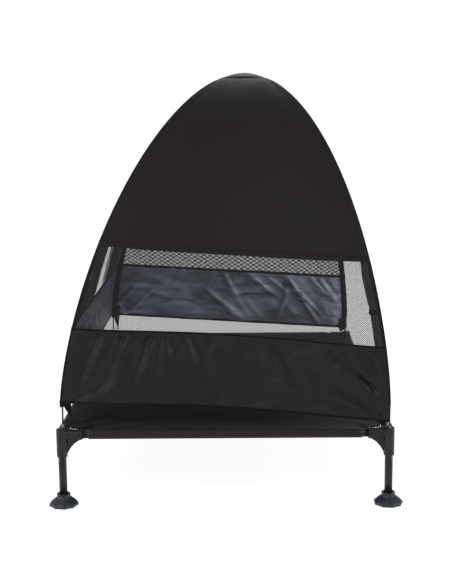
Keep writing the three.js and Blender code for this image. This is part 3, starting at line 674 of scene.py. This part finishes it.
class CotSizes(bpy.types.PropertyGroup):
    """Sizes of the cot's looks."""

    tape_width: FloatProperty(name="Tape width", description="Width of the canopy's binding tape",
                              default=0.009, min=0.004, max=0.02, unit="LENGTH")
    tape_thickness: FloatProperty(name="Tape thickness", description="Thickness of the folded tape",
                                  default=0.0022, min=0.001, max=0.004, unit="LENGTH")
    net_pitch: FloatProperty(name="Net pitch", description="Distance between the net's holes as drawn",
                             default=0.0027, min=0.001, max=0.01, unit="LENGTH")
    bed_sag: FloatProperty(name="Bed sag", description="How far the bed's middle hangs",
                           default=0.009, min=0.0, max=0.03, unit="LENGTH")


# ---------- The studio ----------

CAMERA_PLACE = (0.03885, -2.9547, 0.91016)
CAMERA_TURN = (0.0137295, 0.1713934, -0.0102852)
CAMERA_LENS = 69.42
FLOOR_REACH = 12
LIGHT_AIM = Vector((0, 0, 0.4))
LIGHTS = (
    ("Key", (-1.8, -3.0, 2.8), 1.6, 68),
    ("Fill", (3.0, -1.2, 1.2), 1.2, 45),
    ("Back", (0.6, 2.6, 2.6), 1.8, 40),
    ("Side", (-2.8, -0.7, 0.9), 0.9, 26),
)


class COT_OT_studio(bpy.types.Operator):
    """Adds the camera, the floor and the studio lights"""

    bl_idname = "cot.studio"
    bl_label = "Add Studio"

    def execute(self, context):
        yaw, pitch, roll = CAMERA_TURN
        forward = Vector((-math.sin(yaw) * math.cos(pitch), math.cos(yaw) * math.cos(pitch),
                          -math.sin(pitch)))
        right = Vector((math.cos(yaw), math.sin(yaw), 0))
        up = right.cross(forward)
        across = math.cos(roll) * right + math.sin(roll) * up
        above = math.cos(roll) * up - math.sin(roll) * right
        data = bpy.data.cameras.new("Camera")
        data.sensor_width = 36
        data.lens = CAMERA_LENS
        data.clip_end = 50
        camera = bpy.data.objects.new("Camera", data)
        turn = Matrix((across, above, -forward)).transposed().to_4x4()
        camera.matrix_world = Matrix.Translation(CAMERA_PLACE) @ turn
        context.scene.collection.objects.link(camera)
        context.scene.camera = camera

        bm = bmesh.new()
        bmesh.ops.create_grid(bm, x_segments=1, y_segments=1, size=1)
        for vert in bm.verts:
            vert.co = Vector((vert.co.x * FLOOR_REACH, vert.co.y * FLOOR_REACH, 0))
        floor = new_piece("floor", bm, False)
        material, _, shader = new_material("studio_floor", "#8A8A8A", 0.9, Specular_IOR_Level=0.1)
        shader.inputs["Emission Color"].default_value = (1, 1, 1, 1)
        shader.inputs["Emission Strength"].default_value = 0.9
        floor.data.materials.append(material)

        world = bpy.data.worlds.new("Studio")
        context.scene.world = world
        world.use_nodes = True
        tree = world.node_tree
        sky = tree.nodes["Background"]
        sky.inputs["Color"].default_value = (1, 1, 1, 1)
        sky.inputs["Strength"].default_value = 0.42
        seen = add_node(tree, "ShaderNodeBackground", None, {"Color": (1, 1, 1, 1), "Strength": 1.15})
        first_ray = add_node(tree, "ShaderNodeLightPath").outputs["Is Camera Ray"]
        both = add_node(tree, "ShaderNodeMixShader", None,
                        {0: first_ray, 1: sky.outputs[0], 2: seen.outputs[0]})
        tree.links.new(both.outputs[0], tree.nodes["World Output"].inputs["Surface"])
        context.scene.view_settings.view_transform = "Standard"

        for name, place, size, power in LIGHTS:
            light = bpy.data.lights.new(name, "AREA")
            light.size = size
            light.energy = power
            lamp = bpy.data.objects.new(name, light)
            aim = LIGHT_AIM - Vector(place)
            lamp.matrix_world = (Matrix.Translation(place)
                                 @ aim.to_track_quat("-Z", "Y").to_matrix().to_4x4())
            context.scene.collection.objects.link(lamp)
        return {"FINISHED"}


class COT_OT_materials(bpy.types.Operator):
    """Makes the cot's materials"""

    bl_idname = "cot.materials"
    bl_label = "Make Materials"

    def execute(self, context):
        sizes = context.scene.cot_sizes
        MATERIALS.update(
            roof=oxford_polyester("roof_polyester", "#1A1516", 0.62),
            band=oxford_polyester("band_polyester", "#151112", 0.44, gloss=0.2),
            lining=coated_inside("coated_lining", "#8A8FA3", 0.30),
            # The left wall's lining is a darker, rougher copy of the same coating: painted shade.
            side_lining=coated_inside("coated_lining_shaded", "#565B6A", 0.42),
            net=polyester_net("fly_net", "#141415", sizes.net_pitch),
            # The rolled door flap's lighter blue-grey colour is partly its own tint and partly a painted
            # sheen.
            net_roll=oxford_polyester("net_roll", "#4A5057", 0.5, 0.0018, 0.4),
            tape=binding_tape("binding_tape", "#0F0E0F"),
            tie=binding_tape("webbing", "#0E0E10"),
            elastic=binding_tape("elastic_cord", "#1D2330"),
            thread=binding_tape("overlock_thread", "#3A424E"),
            sling=oxford_polyester("sling_polyester", "#0F0B0C", 0.7, 0.0016, 0.14),
            # The rail sleeves are the sling's cloth in a lighter, warmer copy: painted light where they
            # face the front.
            sleeve=oxford_polyester("rail_sleeve_lit_polyester", "#221B1C", 0.55, 0.0016, 0.14),
            steel=powder_coat("powder_coated_steel", "#15171A"),
            plastic=moulded_polypropylene("moulded_polypropylene", "#15171A", 0.42),
            rubber=moulded_polypropylene("foot_rubber", "#272B30", 0.34),
            rod=plain_fibreglass("fibreglass", "#161617"),
            stud=zinc_steel("zinc_steel", "#8A8D90"),
        )
        return {"FINISHED"}


class COT_OT_roof(bpy.types.Operator):
    """Builds the roof as one cloth over the crossed poles, with its hem and apex patch"""

    bl_idname = "cot.roof"
    bl_label = "Build Roof"

    def execute(self, context):
        parts = []
        for wall, (_, _, _, sag) in WALLS.items():
            half = half_of(wall)

            def place(u, v, wall=wall, sag=sag, half=half):
                low = seam_at(wall, u, ROOF_HEM_Z, sag)
                z = mix(low, APEX - 0.0004, 1 - (1 - v) ** 2)
                s = u * half * span_at(z)
                edge = smooth_step(v / 0.12) * (1 - u * u) * smooth_step((1 - v) / 0.3)
                soft = 0.004 * noise.noise(Vector((s * 5, z * 6, len(wall)))) * edge
                peak = 0.0034 * math.exp(-((span_at(z) - 0.1) / 0.07) ** 2) * smooth_step(span_at(z) / 0.05)
                pulled = 0.0035 * math.exp(-((abs(u) - 0.86) / 0.09) ** 2) * edge * 2
                return wall_point(wall, u, z, soft + pulled) - Vector((0, 0, peak))

            parts.append(cloth_bmesh(44, 40, place, (half * 2, 0.55), wrap=True))
        roof = joined("canopy_roof", parts)
        bm = bmesh.new()
        bm.from_mesh(roof.data)
        bmesh.ops.remove_doubles(bm, verts=bm.verts, dist=2e-5)
        bm.to_mesh(roof.data)
        bm.free()
        give_thickness(roof, CLOTH, 1)
        for wall, (_, _, _, sag) in WALLS.items():
            hem = seam_tape("roof_hem_" + wall, wall, ROOF_HEM_Z + 0.005, 0.013, 0.0016, sag)
            finish_piece(hem, "canopy", [MATERIALS["roof"]])
        finish_piece(roof, "canopy", [MATERIALS["roof"], MATERIALS["lining"]],
                     ["roof_panel_front", "roof_panel_right", "roof_panel_back", "roof_panel_left"])

        def patch_place(a, b):
            u, v = a, b * 2 - 1
            reach = 0.052
            x, y = u * reach, v * reach * SHELL_Y / SHELL_X
            share = max(abs(x) / SHELL_X, abs(y) / SHELL_Y)
            round_share = math.hypot(x / SHELL_X, y / SHELL_Y)
            span = mix(share, round_share, 0.25)
            z = STRAIGHT_TO + (APEX - STRAIGHT_TO) * (1 - span ** SPAN_POWER) ** (1 / RISE_POWER)
            return Vector((lean_at(z) + x, y, z + 0.0006 * (1 - span / 0.06)))

        patch = new_piece("apex_reinforcement", cloth_bmesh(20, 20, patch_place, (0.1, 0.14)))
        give_thickness(patch, 0.0005)
        finish_piece(patch, "canopy", [MATERIALS["roof"]], ["apex_patch"])
        return {"FINISHED"}


class COT_OT_walls(bpy.types.Operator):
    """Builds the lower bands, the nets and the tapes on the canopy's walls"""

    bl_idname = "cot.walls"
    bl_label = "Build Walls"

    def execute(self, context):
        sizes = context.scene.cot_sizes
        width, thickness = sizes.tape_width, sizes.tape_thickness
        for wall in ("front", "back", "left"):
            sag = WALLS[wall][3]
            half = half_of(wall)
            columns = round(half * 2 / 0.0055)
            band = wall_cloth("band_" + wall, wall, HEM_Z, BAND_TOP_Z, columns, 30, band_fold)
            give_thickness(band, CLOTH, 1)
            # The left wall takes the darker copy of the coating lining: painted shade.
            lining = MATERIALS["side_lining" if wall == "left" else "lining"]
            finish_piece(band, "canopy", [MATERIALS["band"], lining],
                         ["lower_band_" + wall])
            for part, height in (("hem", HEM_Z + 0.003), ("top", BAND_TOP_Z)):
                wide = width * (0.5 if wall == "front" else 1)
                tape = seam_tape(f"band_{part}_tape_{wall}", wall, height, wide, thickness)
                finish_piece(tape, "canopy", [MATERIALS["tape"]])
            if wall == "back":
                for side, label in ((-1, "right"), (1, "left")):
                    places = []
                    for i in range(49):
                        z = seam_at(wall, side, mix(HEM_Z, ROOF_HEM_Z, i / 48))
                        places.append((side * (1 - SLEEVE_REACH / (half * span_at(z))), z))
                    strip = ribbon("pole_channel_back_" + label, up_wall(wall, places, -0.0012),
                                   0.015, 0.0016)
                    finish_piece(strip, "canopy", [MATERIALS["tape"]])

            reaches = {"left": (("front", (0.30, 1.0)), ("back", (-1.0, -0.15)))}
            for part, reach in reaches.get(wall, (("", (-1.0, 1.0)),)):
                name = "_".join(x for x in ("net", wall, part) if x)
                fold = net_fold if part else None
                columns = round(half * (reach[1] - reach[0]) / (0.004 if part else 0.016))
                net = wall_cloth(name, wall, BAND_TOP_Z, ROOF_HEM_Z, columns, 16, fold, reach, sag)
                nodes = ["_".join(x for x in ("mesh_window", wall, part) if x)]
                finish_piece(net, "canopy", [MATERIALS["net"]], nodes)
                if part:
                    at = reach[0] if part == "front" else reach[1]
                    low, high = seam_at(wall, at, BAND_TOP_Z), seam_at(wall, at, ROOF_HEM_Z)
                    places = [(at, mix(low, high, i / 24)) for i in range(25)]
                    edge = ribbon(name + "_edge", up_wall(wall, places), width * 0.8, thickness)
                    finish_piece(edge, "canopy", [MATERIALS["tape"]])
        return {"FINISHED"}


class COT_OT_poles(bpy.types.Operator):
    """Builds the two crossed poles, their steel tips and the sleeves round them"""

    bl_idname = "cot.poles"
    bl_label = "Build Poles"

    def execute(self, context):
        for label, side, drop in (("a", -1, POLE_DROP_A), ("b", 1, POLE_DROP_B)):
            inset = LEG_X - TIP.x
            reach_x, reach_y = LEG_X - inset, LEG_Y - inset
            points = [(side * reach_x, -reach_y, TIP_TOP - 0.004)]
            points += [pole_point(side, math.pi * i / 120, drop) for i in range(121)]
            points += [(-side * reach_x, reach_y, TIP_TOP - 0.004)]
            pole = tube("pole_" + label, points, POLE_RADIUS, 12)
            nodes = [f"pole_{label}_segment_{i}" for i in range(1, 7)]
            finish_piece(pole, "canopy", [MATERIALS["rod"]], nodes)
        for corner, (sx, sy) in CORNERS.items():
            profile = [(0, TIP_LOW), (TIP_RADIUS * 0.6, TIP_LOW), (TIP_RADIUS * 0.9, TIP_LOW + 0.002),
                       (TIP_RADIUS * 0.9, TIP_TOP - 0.014), (TIP_RADIUS, TIP_TOP - 0.0135),
                       (TIP_RADIUS, TIP_TOP - 0.0005), (TIP_RADIUS * 0.85, TIP_TOP), (0, TIP_TOP)]
            bm = turned(profile, 32)
            bmesh.ops.translate(bm, verts=bm.verts, vec=(sx * TIP.x, sy * TIP.y, 0))
            tip = new_piece("tip_" + corner, bm)
            soft_edges(tip, 0.0003)
            finish_piece(tip, "canopy", [MATERIALS["stud"]], ["pole_tip_" + corner])

            drop = POLE_DROP_A if sx == sy else POLE_DROP_B
            bm = bmesh.new()
            rings = []
            start, end, steps, sides = 0.002, 1.5, 70, 20
            for i in range(steps + 1):
                angle = mix(start, end, (i / steps) ** 1.5)
                point = self.on_pole(sx, sy, angle, drop)
                tangent = (self.on_pole(sx, sy, angle + 0.004, drop) - point).normalized()
                corner_at = Vector((lean_at(point.z) + sx * SHELL_X * span_at(point.z),
                                    sy * SHELL_Y * span_at(point.z), point.z))
                out = corner_at - point
                out -= tangent * out.dot(tangent)
                reach = min(out.length, SLEEVE_REACH)
                out = out.normalized() if out.length > 1e-6 else Vector((sx, sy, 0)).normalized()
                side = tangent.cross(out)
                ring = []
                for k in range(sides):
                    turn = 2 * math.pi * k / sides
                    c, s = math.cos(turn), math.sin(turn)
                    long = 0.0042 if c < 0 else max(0.0042, reach - 0.0004)
                    ring.append(bm.verts.new(point + out * (c * long) + side * (s * 0.0040)))
                rings.append(ring)
            bridge(bm, rings)
            bmesh.ops.recalc_face_normals(bm, faces=bm.faces)
            sleeve = new_piece("sleeve_" + corner, bm)
            give_thickness(sleeve, 0.0004)
            finish_piece(sleeve, "canopy", [MATERIALS["tape"]], ["pole_sleeve_" + corner])
        return {"FINISHED"}

    def on_pole(self, sx, sy, angle, drop):
        """A point of the pole's axis above a corner. A back corner's is the front one's, mirrored."""
        if sy < 0:
            return pole_point(sx, angle, drop)
        point = pole_point(-sx, angle, drop)
        return Vector((2 * lean_at(point.z + drop) - point.x, -point.y, point.z))


class COT_OT_ties(bpy.types.Operator):
    """Builds the corner ties, and the gathered door flap with its tie"""

    bl_idname = "cot.ties"
    bl_label = "Build Ties"

    def execute(self, context):
        for corner, (sx, sy) in CORNERS.items():
            low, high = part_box("corner_tie_" + corner)
            hem = hem_at_corner(sx)
            neck_x, neck_y = SHELL_X - 0.020, SHELL_Y - 0.020
            wide = 0.0105
            mid_x = SHELL_X - 0.004 - wide
            face_y = SHELL_Y - CLOTH - 0.0030
            shape = [(hem + 0.030, mid_x, face_y, wide), (hem + 0.014, mid_x, face_y, wide),
                     (hem + 0.001, mid_x, face_y, wide * 0.98),
                     (mix(hem, low[2], 0.5), mix(mid_x, neck_x, 0.55), mix(face_y, neck_y, 0.5),
                      wide * 0.6),
                     (mix(hem, low[2], 0.85), neck_x, neck_y, 0.0027), (low[2], neck_x, neck_y, 0.0025)]
            bm = bmesh.new()
            rows = [[bm.verts.new((lean_at(z) + sx * (x + half * k) * span_at(z),
                                   sy * (SHELL_Y * span_at(z) + y - SHELL_Y), z))
                     for k in (-1, -0.34, 0.34, 1)] for z, x, y, half in shape]
            bridge(bm, rows, closed=False)
            bmesh.ops.subdivide_edges(bm, edges=bm.edges, cuts=2, use_grid_fill=True, smooth=0.6)
            bmesh.ops.recalc_face_normals(bm, faces=bm.faces)
            tie = new_piece("tie_" + corner, bm)
            give_thickness(tie, 0.0012)
            tie.modifiers["Cloth thickness"].offset = 0
            finish_piece(tie, "canopy", [MATERIALS["tie"]], ["corner_tie_" + corner])
            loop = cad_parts["elastic_loop_" + corner]
            loop.data.materials.clear()
            loop.data.materials.append(MATERIALS["elastic"])

        flap_low, flap_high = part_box("door_flap")
        turns, pitch, rows = 11.0, 0.00086, 46
        tie_z = middle("door_tie").z

        def flap_point(a, v):
            z = mix(flap_low[2] + 0.001, flap_high[2] + 0.0025, v)
            turn = (a + 1) / 2 * turns * 2 * math.pi
            radius = 0.0018 + pitch * turn / (2 * math.pi)
            ends = 1 - 0.42 * (1 - smooth_step(v / 0.16)) - 0.30 * (1 - smooth_step((1 - v) / 0.10))
            waist = 1 - 0.20 * math.exp(-((z - tie_z) / 0.016) ** 2)
            pleat = 1 + 0.13 * math.sin(5 * turn / turns * 1.02 + 0.6 * math.sin(v * 9) + v * 2.0)
            pleat += 0.05 * noise.noise(Vector((math.cos(turn), math.sin(turn), z * 22)))
            radius *= ends * waist * pleat * 0.94
            span = span_at(z)
            x = lean_at(z) + SHELL_X * span - FLAP_INSET[0] + FLAP_SHIFT
            y = -(SHELL_Y * span - FLAP_INSET[1])
            return Vector((x + radius * math.cos(turn), y + radius * math.sin(turn), z))

        flap = new_piece("door_flap_gathered", cloth_bmesh(420, rows, flap_point, (0.46, 0.33)))
        give_thickness(flap, 0.0003)
        # The flap's light colour is partly a painted sheen.
        finish_piece(flap, "canopy", [MATERIALS["net_roll"]], ["door_flap"])
        centre = middle("door_tie")
        low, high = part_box("door_tie")
        radius = (high[0] - low[0]) / 2 - 0.0034
        stations = []
        for i in range(41):
            turn = 2 * math.pi * i / 40
            facing = Vector((math.cos(turn), math.sin(turn), 0))
            stations.append((Vector((centre.x + FLAP_SHIFT, centre.y, centre.z)) + facing * radius,
                             Vector((0, 0, 1)), facing))
        strap = ribbon("door_tie_strap", stations, 0.012, 0.0014)
        finish_piece(strap, "canopy", [MATERIALS["tie"]], ["door_tie"])
        return {"FINISHED"}


# ---------- The bed cloth ----------

CUT_REACH = 0.062
CUT_OFFSET = 0.016


def cut_contour(count):
    """The cut at a sling's corner, as (along, across) from the leg axis, from one rail to the next."""
    contour = []
    for i in range(count + 1):
        angle = math.pi / 2 * i / count
        sine, cosine = max(math.sin(angle), 1e-6), max(math.cos(angle), 1e-6)
        beside = CUT_OFFSET * (sine ** -2.5 + cosine ** -2.5) ** 0.4
        reach = (beside ** -4 + CUT_REACH ** -4) ** -0.25
        contour.append(Vector((reach * math.cos(angle), reach * math.sin(angle))))
    return contour


def bed_height(x, y, sag):
    """The height of the bed cloth's top, with the fans of tension at its corners."""
    u, v = x / LEG_X, y / LEG_Y
    drop = sag * (1 - u ** 4) * (1 - v ** 6) * (0.55 + 0.45 * (1 - u * u) * (1 - v * v))
    off = Vector((LEG_X - abs(x), LEG_Y - abs(y)))
    fan = 0.0013 * math.sin(math.atan2(off.y, off.x) * 13) * math.exp(-((off.length - 0.05) / 0.1) ** 2)
    pull = 0.0012 * noise.noise(Vector((x * 9, y * 9, 4.2)))
    beside = max(0.0, min(off.x, off.y) - CUT_OFFSET)
    near = smooth_step((0.078 - off.length) / 0.02) * smooth_step(min(off.x, off.y) / 0.012)
    deep = 0.0034 + 0.0032 * smooth_step((off.length - 0.042) / 0.014)
    drop += deep * near * math.exp(-(beside / 0.018) ** 2) * (0.86 + 0.14 * math.cos(off.length * 420))
    return SLING_TOP - drop + (pull + fan) * smooth_step(off.x / 0.03) * smooth_step(off.y / 0.03)


class COT_OT_bed(bpy.types.Operator):
    """Builds the bed cloth, with a sleeve round each rail and a curved cut at each corner"""

    bl_idname = "cot.bed"
    bl_label = "Build Bed"

    def execute(self, context):
        sizes = context.scene.cot_sizes
        top = SLING_TOP
        wrap = top - RAIL_Z
        nx, ny = 92, 130
        bm = bmesh.new()
        bmesh.ops.create_grid(bm, x_segments=nx, y_segments=ny, size=1)
        for vert in bm.verts:
            vert.co = Vector((vert.co.x * LEG_X, vert.co.y * LEG_Y, 0))
        contour = cut_contour(160)

        def off_corner(co):
            return Vector((LEG_X - abs(co.x), LEG_Y - abs(co.y)))

        def is_cut(co):
            off = off_corner(co)
            if off.length > CUT_REACH:
                return False
            near = min(contour, key=lambda p: abs(math.atan2(p.y, p.x) - math.atan2(off.y, off.x)))
            return off.length < near.length

        lost = [f for f in bm.faces if is_cut(f.calc_center_median())]
        rim = {v for f in lost for v in f.verts}
        bmesh.ops.delete(bm, geom=lost, context="FACES")
        for vert in (v for v in rim if v.is_valid):
            off = off_corner(vert.co)
            off = min(contour, key=lambda p: (p - off).length)
            vert.co.x = math.copysign(LEG_X - off.x, vert.co.x)
            vert.co.y = math.copysign(LEG_Y - off.y, vert.co.y)
        for vert in bm.verts:
            vert.co.z = bed_height(vert.co.x, vert.co.y, sizes.bed_sag)
        steps = 16
        for axis, limit in ((0, LEG_X), (1, LEG_Y)):
            for sign in (-1, 1):
                edges = [e for e in bm.edges if e.is_boundary
                         and all(abs(v.co[axis] - sign * limit) < 1e-5
                                 and abs(v.co.z - top) < 1e-4 for v in e.verts)]
                for i in range(1, steps + 1):
                    made = bmesh.ops.extrude_edge_only(bm, edges=edges)["geom"]
                    verts = [g for g in made if isinstance(g, bmesh.types.BMVert)]
                    edges = [g for g in made if isinstance(g, bmesh.types.BMEdge)
                             and all(v in set(verts) for v in g.verts)]
                    turn = math.radians(300) * i / steps
                    # Slot 2 is the lighter copy of the sling cloth on the sleeve faces: painted light.
                    for face in {f for e in edges for f in e.link_faces}:
                        face.material_index = 2
                    for vert in verts:
                        vert.co[axis] = sign * (limit + wrap * math.sin(turn))
                        vert.co.z = RAIL_Z + wrap * math.cos(turn)
        uv = bm.loops.layers.uv.get("Metres") or bm.loops.layers.uv.new("Metres")
        for face in bm.faces:
            for loop in face.loops:
                co = loop.vert.co
                loop[uv].uv = (co.x + (RAIL_Z - co.z if abs(co.x) > LEG_X - 0.01 else 0),
                               co.y + (RAIL_Z - co.z if abs(co.y) > LEG_Y - 0.01 else 0))
        bmesh.ops.recalc_face_normals(bm, faces=bm.faces)
        if sum(f.normal.z for f in bm.faces if abs(f.calc_center_median().x) < 0.1) < 0:
            bmesh.ops.reverse_faces(bm, faces=bm.faces)
        bed = new_piece("bed_cloth", bm)
        give_thickness(bed, 0.0011)
        # The sleeves take the lighter copy of the sling cloth: painted light.
        finish_piece(bed, "cot",
                     [MATERIALS["sling"], MATERIALS["sling"], MATERIALS["sleeve"]], ["bed_sling"])

        for corner, (sx, sy) in CORNERS.items():
            along = [(LEG_X - p.x, LEG_Y - p.y) for p in cut_contour(40)]
            points = [(sx * x, sy * y, bed_height(x, y, sizes.bed_sag) - 0.0005) for x, y in along]
            for i in range(1, 13):
                turn = math.radians(200) * i / 12
                out, z = wrap * math.sin(turn), RAIL_Z + wrap * math.cos(turn)
                points.insert(0, (sx * (LEG_X - CUT_REACH), sy * (LEG_Y + out), z))
                points.append((sx * (LEG_X + out), sy * (LEG_Y - CUT_REACH), z))
            edging = tube("cut_edge_" + corner, points, 0.0007, 8)
            finish_piece(edging, "cot", [MATERIALS["thread"]])
        return {"FINISHED"}


class COT_OT_metalwork(bpy.types.Operator):
    """Builds the rails, legs, corner brackets and feet"""

    bl_idname = "cot.metalwork"
    bl_label = "Build Frame"

    def execute(self, context):
        for label, node, axis in (("front", "end_rail_front", 0), ("back", "end_rail_back", 0),
                                  ("left", "side_rail_left", 1), ("right", "side_rail_right", 1)):
            low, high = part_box(node)
            centre = middle(node)
            ends = []
            for value in (low[axis] + 0.0005, high[axis] - 0.0005):
                point = centre.copy()
                point[axis] = value
                ends.append(point)
            rail = tube("rail_" + label, ends, RAIL_RADIUS, 40)
            finish_piece(rail, "cot", [MATERIALS["steel"]], [node])
        for corner, (sx, sy) in CORNERS.items():
            low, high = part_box("leg_tube_" + corner)
            leg = tube("leg_" + corner, [(sx * LEG_X, sy * LEG_Y, low[2] + 0.0003),
                                         (sx * LEG_X, sy * LEG_Y, high[2] - 0.0003)], LEG_RADIUS, 40)
            finish_piece(leg, "leg_" + corner, [MATERIALS["steel"]],
                         ["leg_tube_" + corner])
            self.bracket(corner, sx, sy)
            self.foot(corner, sx, sy)
        return {"FINISHED"}

    def bracket(self, corner, sx, sy):
        """A moulded corner: a leg socket, two ribbed rail sockets and their gussets."""
        low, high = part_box("corner_bracket_" + corner)
        socket, lip = 0.012, 0.0128
        reach = (high[0] - low[0]) - lip
        top, bottom = high[2], low[2]
        leg_bore, leg_depth = LEG_RADIUS + PLUG_PLAY, 0.044
        parts = [turned([(0, bottom + leg_depth), (leg_bore, bottom + leg_depth), (leg_bore, bottom),
                         (socket - 0.0006, bottom), (socket, bottom + 0.0012), (socket, top - 0.0012),
                         (socket - 0.0012, top - 0.0002), (0, top - 0.0002)], 48)]
        for turn in (0, 1):
            bore = RAIL_RADIUS + PLUG_PLAY
            rows = [(0, 0), (socket - 0.001, 0)]
            for i in range(5):
                at = 0.0125 + i * 0.0062
                rows += [(socket - 0.001, at), (socket, at + 0.0006), (socket, at + 0.0034),
                         (socket - 0.001, at + 0.004)]
            rail_stop = 0.0135
            rows += [(socket, reach - 0.0045), (lip, reach - 0.004),
                     (lip, reach - 0.0006), (socket, reach), (bore, reach),
                     (bore, rail_stop), (0, rail_stop)]
            bm = turned(rows, 48)
            turn_about(bm, "Y", math.pi / 2)
            bmesh.ops.translate(bm, verts=bm.verts, vec=(0, 0, RAIL_Z))
            gusset = bmesh.new()
            outline = [(0.002, RAIL_Z), (0.002, bottom + 0.008), (0.013, bottom + 0.008)]
            for i in range(1, 13):
                t = i / 12
                outline.append((
                    (1 - t) ** 2 * 0.013 + 2 * t * (1 - t) * reach * 0.5 + t * t * (reach - 0.003),
                    (1 - t) ** 2 * (bottom + 0.008) + 2 * t * (1 - t) * (RAIL_Z - 0.020)
                    + t * t * (RAIL_Z - socket)))
            outline.append((reach - 0.003, RAIL_Z))
            verts = [gusset.verts.new((x, -0.0025, z)) for x, z in outline]
            face = gusset.faces.new(verts)
            made = bmesh.ops.extrude_face_region(gusset, geom=[face])["geom"]
            bmesh.ops.translate(gusset, verts=[g for g in made if isinstance(g, bmesh.types.BMVert)],
                                vec=(0, 0.005, 0))
            bmesh.ops.recalc_face_normals(gusset, faces=gusset.faces)
            for part in (bm, gusset):
                if turn:
                    turn_about(part, "Z", math.pi / 2)
                parts.append(part)
        quarter = {(-1, -1): 0, (1, -1): 1, (1, 1): 2, (-1, 1): 3}[(sx, sy)]
        for part in parts:
            turn_about(part, "Z", math.pi / 2 * quarter)
            bmesh.ops.translate(part, verts=part.verts, vec=(sx * LEG_X, sy * LEG_Y, 0))
        bracket = joined("bracket_" + corner, parts)
        soft_edges(bracket, 0.0005, 50)
        finish_piece(bracket, "cot", [MATERIALS["plastic"]],
                     ["corner_bracket_" + corner])

    def foot(self, corner, sx, sy):
        """A bell-shaped foot with a fluted skirt and a collar round the leg."""
        bm = bmesh.new()
        facets, lobes = 144, 9
        collar, bore, floor = 0.0155, LEG_RADIUS + PLUG_PLAY, 0.0090
        rings = [(0.019, 0, 0, 0), (0.0200, 0.0004, 0, 0), (0.0300, 0.0006, 0.3, 0),
                 (FOOT_RADIUS - 0.0006, 0.0012, 1, 0.4), (FOOT_RADIUS, 0.0034, 1, 1),
                 (FOOT_RADIUS - 0.0002, 0.0052, 1, 1), (FOOT_RADIUS - 0.0014, 0.0066, 1, 1),
                 (0.0275, 0.0108, 0.9, 0.9), (0.0235, 0.0142, 0.65, 0.6), (0.0195, 0.0176, 0.3, 0.2),
                 (0.0172, 0.0200, 0, 0), (collar - 0.0004, 0.0215, 0, 0), (collar - 0.0007, 0.0250, 0, 0),
                 (collar, 0.0258, 0, 0), (collar, FOOT_HEIGHT - 0.0006, 0, 0),
                 (collar - 0.0006, FOOT_HEIGHT, 0, 0), (bore, FOOT_HEIGHT, 0, 0), (bore, floor, 0, 0)]
        loops = []
        for radius, height, lobe, wave in rings:
            loop = []
            for i in range(facets):
                turn = 2 * math.pi * i / facets
                ripple = abs((turn * lobes / (2 * math.pi) + 0.5) % 1 - 0.5) * 2
                r = radius + lobe * (0.0006 - 0.0036 * ripple)
                z = height + 0.0034 * wave * ripple
                loop.append(bm.verts.new((sx * LEG_X + r * math.cos(turn),
                                          sy * LEG_Y + r * math.sin(turn), z)))
            loops.append(loop)
        bridge(bm, loops)
        bm.faces.new(loops[0][::-1])
        bm.faces.new(loops[-1])
        bmesh.ops.recalc_face_normals(bm, faces=bm.faces)
        foot = new_piece("foot_pad_" + corner, bm)
        finish_piece(foot, "leg_" + corner, [MATERIALS["rubber"]], ["foot_" + corner])


class COT_PT_panel(bpy.types.Panel):
    """The cot's sizes and its build buttons"""

    bl_label = "Dog Cot"
    bl_idname = "COT_PT_panel"
    bl_space_type = "VIEW_3D"
    bl_region_type = "UI"
    bl_category = "Dog Cot"

    def draw(self, context):
        column = self.layout.column()
        for name in ("tape_width", "tape_thickness", "net_pitch", "bed_sag"):
            column.prop(context.scene.cot_sizes, name)
        for step in STEPS:
            column.operator(step.bl_idname)


STEPS = (COT_OT_studio, COT_OT_materials, COT_OT_poles, COT_OT_roof, COT_OT_walls, COT_OT_ties,
         COT_OT_metalwork, COT_OT_bed)
CLASSES = (CotSizes, *STEPS, COT_PT_panel)


def register():
    for cls in CLASSES:
        bpy.utils.register_class(cls)
    bpy.types.Scene.cot_sizes = PointerProperty(type=CotSizes)


def unregister():
    del bpy.types.Scene.cot_sizes
    for cls in reversed(CLASSES):
        bpy.utils.unregister_class(cls)


def main():
    register()
    for step in STEPS:
        group, name = step.bl_idname.split(".")
        getattr(getattr(bpy.ops, group), name)()


if __name__ == "__main__":
    main()
